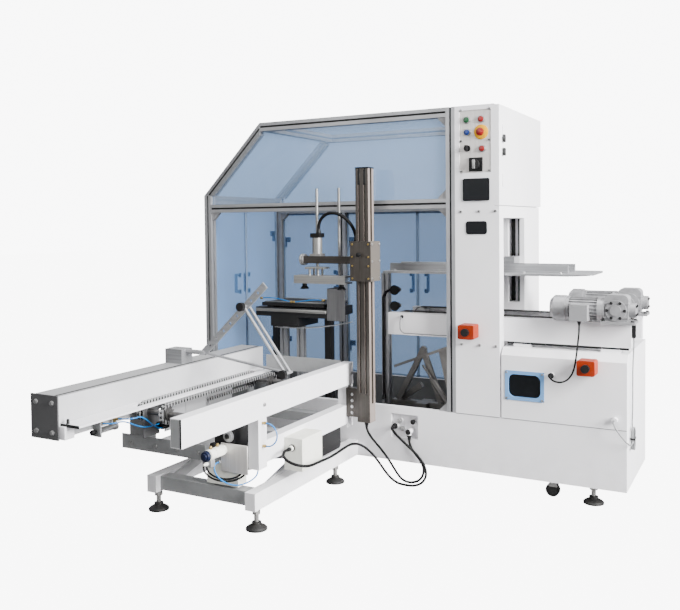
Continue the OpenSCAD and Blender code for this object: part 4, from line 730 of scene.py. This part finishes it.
def hexScrew(size):  # hexagon head on its washer
    washer = turned("washer", origin, up, [(size * 1.1, size * 0.16)], 20, 0.2)
    steps = [(size * 0.92, size * 0.5), (size * 0.78, size * 0.12)]
    head = turned("hexHead", Vector((0, 0, size * 0.00016)), up, steps, 6, 0)
    return joined("hexScrew", [washer, head])


screwSet = {
    "plateScrews": {"kind": socketScrew, "size": 7, "way": front, "spots": [
        (x, 3, z) for x in (1501, 1637) for z in (1491, 1632, 1774)]},
    "columnScrews": {"kind": socketScrew, "size": 8, "way": front, "spots": [
        (x, 0, z) for x in (1500, 1588, 1665) for z in (1304, 682)]},
    "bezelScrews": {"kind": socketScrew, "size": 6, "way": front, "spots": [
        (x, -3, z) for x in (1715, 1879) for z in (450, 568)]},
    "guideEndBolts": {"kind": hexScrew, "size": 10, "way": front, "spots": [
        (x, -1386, z) for x in (236, 324) for z in (452, 568)]},
    "railBolts": {"kind": hexScrew, "size": 8, "way": right, "spots": [(955, y, 516) for y in (-853, -80)]},
    "carriageBolts": {"kind": socketScrew, "size": 6, "way": front, "body": "pick_carriage",
                      "finish": "brassFitting", "spots": [
        (x, -152, z) for x in (1003, 1089) for z in (990, 1050, 1094, 1154)]},
    "carriageSideBolts": {"kind": socketScrew, "size": 7, "way": right, "body": "pick_carriage", "spots": [
        (1102, y, z) for y in (-140, -60) for z in (990, 1072, 1154)]},
    "mastFootBolts": {"kind": hexScrew, "size": 7, "way": front, "spots": [
        (978, -120, z) for z in (330, 360, 390, 420)]},
    "gearCoverBolts": {"kind": hexScrew, "size": 6, "way": front, "finish": "darkPaint", "spots": [
        (2191 + 37 * math.cos(a), 10, 867 + 37 * math.sin(a)) for a in [k * math.pi / 3 for k in range(6)]]},
    "gearEndBolts": {"kind": hexScrew, "size": 6, "way": right, "finish": "darkPaint", "spots": [
        (2270, y + 26 * math.cos(a), 867 + 26 * math.sin(a)) for y in (56, 427)
        for a in [math.pi / 4 + k * math.pi / 2 for k in range(4)]]},
    "gearFootBolts": {"kind": hexScrew, "size": 8, "way": up, "finish": "darkPaint", "spots": [
        (x, y, 820) for x in (2138, 2260) for y in (14, 98, 385, 469)]},
    "crossmemberBolts": {"kind": hexScrew, "size": 8, "way": front, "spots": [
        (x, -886, 284) for x in (260, 400, 520, 640)]},
    "pressBolts": {"kind": hexScrew, "size": 8, "way": up, "body": "press", "spots": [
        (x, y, 1015) for x in (1100, 1340, 1760, 1930) for y in (130, 356)]},
}
for name, s in screwSet.items():
    master = s["kind"](s["size"])
    screws = stamped(name, master, [(at(*spot), s["way"]) for spot in s["spots"]])
    ridden(screws, "steel", s.get("finish", "turnedSteel"), s.get("body", "machine"))
    bpy.data.objects.remove(master)
print("screws set:", len(screwSet))

buttonSet = {  # centre along X and up Z on the control plate, cap finish
    "startButton": (1529, 1728, "buttonGreen"), "stopButton": (1599, 1728, "buttonRed"),
    "resetButton": (1531, 1671, "buttonBlue"), "pauseButton": (1603, 1593, "buttonRed"),
}
plateFace, capRadius = 3, 13
stopAt = (1598, 1669)  # the stop button's centre
for name, (x, z, finish) in buttonSet.items():
    collar = turned(name + "Collar", at(x, plateFace, z), front, [(17, 5), (15, 3)], 32)
    ridden(collar, "steel", "turnedSteel")
    cap = turned(name, at(x, plateFace - 8, z), front, [(capRadius, 4), (capRadius * 0.86, 1)], 32, 0.8)
    ridden(cap, "buttons", finish)
ring = turned("stopRing", at(stopAt[0], plateFace, stopAt[1]), front, [(34, 3), (31, 1.5)], 40)
ridden(ring, "buttons", "ringYellow")
mushroom = turned("stopMushroom", at(stopAt[0], plateFace - 4.5, stopAt[1]), front,
                  [(11, 8), (16, 3), (18.5, 6), (15, 4), (8, 2)], 40, 1.2)
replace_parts(ridden(mushroom, "buttons", "buttonRed"), "push_buttons")
handle = slab("mainSwitchGrip", [1565, 1579], [-36, -27], [1500, 1542], 3)
ridden(handle, "steel", "turnedSteel")
print("control panel fitted")

doorSet = {  # outward way, hinge corner, edge towards the leaf, leaf width and height, in mm
    "side_door_front": {"out": left, "along": back, "corner": (0, 51), "w": 326, "h": 1007},
    "side_door_rear": {"out": left, "along": front, "corner": (0, 709), "w": 326, "h": 1007},
    "back_door_left": {"out": back, "along": right, "corner": (51, 760), "w": 400.5, "h": 957},
    "back_door_centre": {"out": back, "along": right, "corner": (508.5, 760), "w": 452.25, "h": 957},
    "back_door_right": {"out": back, "along": left, "corner": (1419, 760), "w": 452.25, "h": 957},
}
# handle from the leaf's free edge and foot, hinge from its hinge corner
handleSet = {"inset": 44, "half": 8, "z": (491, 605), "out": (24, 39), "post": 16, "postOut": (0, 26),
             "footHalf": 11, "footOut": (0, 4), "footRim": 5}
hingeSet = {"levels": (0.14, 0.8), "rise": 16.3, "leaf": (6, 34), "leafOut": (0, 9.8), "tall": 32,
            "pin": (-3, 9), "knuckle": (8.5, 31.5)}
leafFoot = 359  # height of the leaves' lower edge


def doorBlock(name, d, run, out, z, soft=2.0):  # block in door terms: along the leaf, outwards, up
    corners = []
    for r, o in ((run[0], out[0]), (run[1], out[1])):
        corners.append([d["corner"][k] + d["along"][k] * r + d["out"][k] * o for k in (0, 1)])
    xs, ys = sorted(c[0] for c in corners), sorted(c[1] for c in corners)
    return slab(name, xs, ys, [leafFoot + z[0], leafFoot + z[1]], soft)


for door, d in doorSet.items():
    s = handleSet
    grip = d["w"] - s["inset"]
    run = (grip - s["half"], grip + s["half"])
    footRun = (grip - s["footHalf"], grip + s["footHalf"])
    parts = [doorBlock("grip", d, run, s["out"], s["z"], 5.0)]
    for low in (s["z"][0], s["z"][1] - s["post"]):
        high = low + s["post"]
        parts.append(doorBlock("post", d, run, s["postOut"], (low, high), 3.0))
        footZ = (low - s["footRim"], high + s["footRim"])
        parts.append(doorBlock("foot", d, footRun, s["footOut"], footZ, 1.5))
    s = hingeSet
    for level in s["levels"]:
        z = level * d["h"] + s["rise"]
        parts.append(doorBlock("leaf", d, s["leaf"], s["leafOut"], (z, z + s["tall"]), 1.2))
        spot = [d["corner"][k] + d["along"][k] * s["pin"][0] + d["out"][k] * s["pin"][1] for k in (0, 1)]
        parts.append(turned("knuckle", at(*spot, leafFoot + z), up, [s["knuckle"]], 20, 0.8))
    name = door.title().replace("_", "")
    ridden(joined(name[0].lower() + name[1:] + "Fittings", parts), "black_plastic", "blackPlastic", door)
print("door fittings hung")

# black covers in the slots of the guard profiles
sealSet = {"wide": 9.6, "deep": 2.5, "bottom": 13.4}  # a slot's bottom, from the bar's middle


def sealRun(name, low, high, face):  # one strip along a bar: ends of its middle line, way its slot faces
    s = sealSet
    ends = [list(low), list(high)]
    axis = [k for k in range(3) if low[k] != high[k]][0]
    out = [k for k in range(3) if face[k]][0]
    side = 3 - axis - out
    ends[0][out] = low[out] + face[out] * s["bottom"]
    ends[1][out] = low[out] + face[out] * (s["bottom"] + s["deep"])
    ends[0][side], ends[1][side] = low[side] - s["wide"] / 2, low[side] + s["wide"] / 2
    pairs = [sorted((ends[0][k], ends[1][k])) for k in range(3)]
    return slab(name, *pairs, 0.8, 1)


seals = []
for x, y, top, faces in ((22.5, 22.5, 1417, (front, left)), (22.5, 737.5, 1417, (back, left)),
                         (1447.5, 22.5, 1795, (front, left)), (1447.5, 737.5, 1795, (back, left)),
                         (480, 737.5, 1322, (front, back))):
    for face in faces:
        seals.append(sealRun("seal", (x, y, 353), (x, y, top), face))
for y, face in ((22.5, front), (737.5, front), (737.5, back)):
    seals.append(sealRun("seal", (45, y, 1344.5), (1425, y, 1344.5), face))
    seals.append(sealRun("seal", (375, y, 1772.5), (1425, y, 1772.5), face))
for x, z, face in ((22.5, 1394.5, left), (397.5, 1772.5, right), (397.5, 1772.5, down),
                   (1447.5, 1772.5, left)):
    seals.append(sealRun("seal", (x, 45, z), (x, 715, z), face))
ridden(joined("profileSeals", seals), "black_plastic", "blackPlastic")

gussetSet = {"leg": 42, "thick": 30, "cut": 0.56}  # cast corner pieces between a post and a rail


def gusset(name, x, y, z, sx, sz):  # corner at the joint, legs along X and Z
    s = gussetSet
    leg, cut = s["leg"], s["leg"] * s["cut"]
    piece = slab(name, sorted((x, x + sx * leg)), (y, y + s["thick"]), sorted((z, z + sz * leg)), 0.5, 1)
    plane = {"plane_co": at(x + sx * cut, y, z + sz * cut), "plane_no": Vector((sx, 0, sz)).normalized()}
    work(piece, lambda c, n: True, ("bisect", {**plane, "clear_outer": True, "use_fill": True}))
    return soften(piece, 1.5)


corners = []
for y in (7.5, 722.5):
    for x, sx in ((45, 1), (1425, -1)):
        corners.append(gusset("gusset", x, y, 1322, sx, -1))
        corners.append(gusset("gusset", x, y, 353, sx, 1))
    corners.append(gusset("gusset", 1425, y, 1367, -1, 1))
    corners.append(gusset("gusset", 1425, y, 1750, -1, -1))
ridden(joined("cornerGussets", corners), "profile_alu", "castSilver")

# rubber lips behind the gaps round the doors, on the fixed frame
lipSet = {"half": 9, "thick": 3, "back": 746, "side": 11}
lips = []
half = lipSet["half"]
backLip = (lipSet["back"], lipSet["back"] + lipSet["thick"])
sideLip = (lipSet["side"], lipSet["side"] + lipSet["thick"])
for x in (48, 454.5, 505.5, 963.75, 1422):
    lips.append(slab("lip", (x - half, x + half), backLip, (353, 1322), 0.8, 1))
for z in (356, 1319):
    lips.append(slab("lip", (45, 1425), backLip, (z - half, z + half), 0.8, 1))
for y in (48, 380, 712):
    lips.append(slab("lip", sideLip, (y - half, y + half), (353, 1372), 0.8, 1))
for z in (356, 1369):
    lips.append(slab("lip", sideLip, (45, 715), (z - half, z + half), 0.8, 1))
ridden(joined("doorLips", lips), "black_plastic", "greyRubber")
print("guard dressed")

# plugs in the socket recess and sleeves where leads come out
plugSet = [  # foot, way, rings as radius and rise, finish
    ("boxGland", (985, -690, 300), front, [(15, 7), (11, 9), (8.5, 12), (7, 10)], "blackPlastic"),
    ("socketPlugLeft", (1150, 8, 254), front, [(14, 6), (11, 14), (8, 10), (7, 6)], "blackPlastic"),
    ("socketPlugTop", (1177, 12, 283), front, [(11, 10), (12.5, 4), (9, 6)], "turnedSteel"),
    ("socketPlugMid", (1189, 14, 247), front, [(11, 8), (12.5, 4), (9, 5)], "turnedSteel"),
    ("socketPlugRight", (1247, 12, 285), front, [(11, 10), (12.5, 4), (9, 6)], "blackPlastic"),
    ("elbowPlug", (1232, -22, 239), front, [(14, 3), (12, 4), (6, 2)], "blackPlastic"),
    ("elbowNut", (1232, -10, 222), down, [(12.5, 8), (9, 10), (7, 8)], "blackPlastic"),
    ("mastGland", (1046, -100, 290), down, [(13, 6), (10, 10), (7.5, 10)], "blackPlastic"),
    ("housingGland", (1922, -20, 570), front, [(13, 5), (9, 8), (5.5, 8)], "blackPlastic"),
    ("motorGland", (2043, -15, 820), down, [(10, 6), (7.5, 7), (5, 7)], "blackPlastic"),
    ("hoseCollar", (796, -112, 1208), up, [(12, 8), (10.5, 8), (9, 6)], "blackPlastic"),
    ("hoseElbow", (999, -103, 1168), up, [(13, 8), (10.5, 10), (9, 6)], "blackPlastic"),
    ("leadGlandFront", (860, -862, 255), down, [(9, 4), (7, 6), (5, 6)], "blackPlastic"),
    ("leadGlandRear", (876, -862, 255), down, [(9, 4), (7, 6), (5, 6)], "blackPlastic"),
    ("leadPlugFront", (700, -883, 274), front, [(8, 5), (6.5, 6), (5, 6)], "blackPlastic"),
    ("leadPlugRear", (684, -883, 274), front, [(8, 5), (6.5, 6), (5, 6)], "blackPlastic"),
    ("unitHoseFoot", (988, 223, 333), up, [(12, 8), (10, 8), (7.5, 8)], "blackPlastic"),
    ("beamGlandLeft", (1167, 64, 790), front, [(8, 4), (6, 6)], "blackPlastic"),
    ("beamGlandRight", (1429, 64, 712), front, [(8, 4), (6, 6)], "blackPlastic"),
    ("armEndCap", (712, -100, 1076), left, [(29, 8), (25, 3), (29, 12), (22, 5)], "turnedSteel"),
    ("armEndBore", (684, -100, 1076), left, [(9, 1)], "blackPlastic"),
]
carriagePlugs = ("hoseCollar", "hoseElbow", "armEndCap", "armEndBore")
for name, foot, way, rings, finish in plugSet:
    piece = turned(name, at(*foot), way, rings, 24, 0.8)
    body = "pick_carriage" if name in carriagePlugs else "machine"
    ridden(piece, "black_plastic" if finish == "blackPlastic" else "steel", finish, body)
print("plugs fitted:", len(plugSet))


# magazine: front air cylinder, filter, valves and caps
def barrel(name, foot, way, rings, finish, slotName, sides=28):
    ridden(turned(name, at(*foot), way, rings, sides, 0.8), slotName, finish)


barrel("clampBarrel", (372, -1196, 420), back, [(16, 10), (13, 3), (13, 78), (16, 12), (8, 6)],
       "turnedSteel", "steel")
barrel("clampKnob", (372, -1204, 420), front, [(6, 10), (11, 4), (12, 12), (9, 3)],
       "blackPlastic", "black_plastic")
ridden(slab("clampBracket", (352, 394), (-1204, -1196), (398, 479), 2), "steel", "barGrey")
barrel("filterBowl", (772, -873, 318), front,
       [(19, 25), (22, 6), (22, 52), (20, 10), (23, 6), (23, 22), (17, 6)],
       "ivoryPlastic", "ivory_plastic", 32)
barrel("filterCap", (772, -1000, 318), front, [(22, 6), (20, 10), (12, 6)],
       "navyPlastic", "black_plastic", 32)
barrel("pressureDial", (734, -873, 330), front, [(9, 24), (16, 4), (17, 12), (14, 2)],
       "blackPlastic", "black_plastic", 32)
valves = []
for z in (392, 376):
    valves.append(slab("valveBody", (425, 461), (-905, -861), (z - 7, z + 7), 2))
valves.append(turned("valveKnob", at(432, -905, 384), front, [(6, 10), (4, 4)], 20))
ridden(joined("clampValves", valves), "black_plastic", "blackPlastic")
fittings = []
for spot, way in (((376, -1190, 453), right), ((376, -1102, 453), right), ((772, -930, 335), up),
                  ((772, -975, 335), up), ((945, -853, 440), right), ((945, -853, 345), right),
                  ((222, 213, 838), right), ((438, 213, 823), left), ((436, 213, 823), right),
                  ((642, 213, 838), left)):
    fittings.append(turned("fitting", at(*spot), way, [(6, 8), (7, 5), (4.5, 5)], 16, 0.4))
for y in (-1190, -1102):
    fittings.append(turned("fittingFoot", at(372, y, 430), up, [(6, 18), (7.5, 12)], 16, 0.6))
ridden(joined("brassFittings", fittings), "steel", "brassFitting")
manifold = slab("filterManifold", (748, 792), (-1000, -972), (272, 300), 2)
ridden(manifold, "motor_cast", "castSilver")
barrel("manifoldPlug", (772, -1000, 286), front, [(8, 10), (6, 8), (4, 6)],
       "ivoryPlastic", "ivory_plastic", 20)
barrel("gearFlange", (789, -873, 372), front, [(26, 6), (22, 5), (20, 2)], "castSilver", "motor_cast", 36)
barrel("gearBore", (789, -886, 372), front, [(11, 2), (9, 1)], "blackPlastic", "black_plastic", 24)
barrel("ledgeCap", (377, -1356, 487), up, [(7, 4), (6, 12), (4, 3)], "blackPlastic", "black_plastic", 20)
ridden(slab("guideBlock", (350, 384), (-1380, -1330), (427, 479), 2), "white_paint", "whitePaint")
print("air pieces fitted")

# flat trims: finish, body, blocks as X, Y and Z pairs with the softness of their edges
tieX, tieY, tieZ = (2242.8, 2263.2), (63.2, 104.8), (301, 308)
trims = {
    "cabinetLatches": ("blackPlastic", "cabinet_door", [
        ((1687, 1694), (44, 74), (z, z + 36), 3) for z in (1560, 1622)]),
    "mastSlotCovers": ("mastSteel", "machine", [
        ((x, x + 8), (-122.5, -121), (440, 1500), 0.5) for x in (1027, 1057)]),
    "mastPulleys": ("blackPlastic", "machine", [
        ((x, x + 10), (-130.6, -121), (1440, 1512), 1) for x in (1026, 1056)]),
    "slotBellows": ("blackPlastic", "machine", [
        ((x, x + 20), (471, 474), (850, 1270), 1) for x in (1602, 1636)]),
    "guideTopSlot": ("blackPlastic", "machine", [((316, 330), (-1380, 39), (582, 594.4), 0.5)]),
    "ledgeEnd": ("blackPlastic", "machine", [((350, 450), (-1370, -1368), (477, 489), 0.6)]),
    # painted shade: grey strips in the shadowed seams where the housing and the column meet the base
    "housingGasket": ("gasketGrey", "machine", [
        (x, (-1.2, 2), (351.5, 354.5), 0.5) for x in ((1690, 2240), (1470, 1683))]),
    "tableRails": ("barSilver", "machine", [
        ((205, 660), (190, 200), (766, 784), 2), ((245, 630), (224, 238), (816, 822), 1.5),
        ((245, 630), (440, 454), (816, 822), 1.5)]),
    "blankStop": ("stopSteel", "machine", [((664, 774), (197.5, 200), (731, 904), 0.8)]),
    "hankTie": ("blackPlastic", "machine", [
        ((tieX[0], 2244), tieY, tieZ, 0.4), ((2262, tieX[1]), tieY, tieZ, 0.4),
        (tieX, (tieY[0], 64.4), tieZ, 0.4), (tieX, (103.6, tieY[1]), tieZ, 0.4)]),
    # painted shade for the rail's open end: a dark strip and a grey face stand in for the shaded inside of
    # the channel
    "railEnd": ("darkPaint", "machine", [((947, 954.5), (-1376.8, -1375.5), (464, 568), 0.3)]),
    "railHollow": ("barGrey", "machine", [((907, 946), (-1376.6, -1375.5), (466, 566), 0.3)]),
    "bearingPlate": ("stopSteel", "machine", [((419, 424), (-985, -883), (345, 479), 1)]),
    "crossApron": ("barGrey", "machine", [((205, 672), (-886, -883), (255, 322), 1)]),
    "driveCover": ("plateSatin", "machine", [((757, 893), (-889, -883), (224, 345), 2)]),
    "chainCover": ("greyPaint", "machine", [
        ((425, 430), y, (345, 479), 1) for y in ((-855, -712), (-710, -562))]),
    # painted shadow: a black strip in the gap under the beam
    "beamSeal": ("blackPlastic", "machine", [((1700, 2238), (64, 70), (690, 700), 0.8)]),
}
trimSlots = {"blackPlastic": "black_plastic", "gasketGrey": "grey_paint", "barGrey": "grey_paint",
             "greyPaint": "grey_paint", "darkPaint": "dark_paint", "mastSteel": "nickel"}
for name, (finish, body, blocks) in trims.items():
    whole = joined(name, [slab(name, x, y, z, soft, 1) for x, y, z, soft in blocks])
    ridden(whole, trimSlots.get(finish, "profile_alu"), finish, body)

# cover strips on the slopes
slopeSet = {"foot": (36, 1421), "run": (375 - 36, 1763 - 1421), "wide": 8, "proud": 1.5, "deep": 760}
s = slopeSet
length = math.hypot(*s["run"])
x, y = baseCorner
strip = slab("slopeStrip", (x - s["proud"] / 2, x + s["proud"] / 2), (y - s["wide"] / 2, y + s["wide"] / 2),
             (0, length), 0.5, 1)
way = (s["run"][0], 0, s["run"][1])
spots = [(at(s["foot"][0], y, s["foot"][1]), way) for y in (-s["proud"] / 2, s["deep"] + s["proud"] / 2)]
ridden(stamped("slopeStrips", strip, spots), "black_plastic", "blackPlastic")
bpy.data.objects.remove(strip)
knob = turned("carriageKnob", at(1046, -152, 1104), front, [(6, 12), (10, 4), (11, 9), (8, 3)], 28)
ridden(knob, "black_plastic", "blackPlastic", "pick_carriage")
print("trims laid")
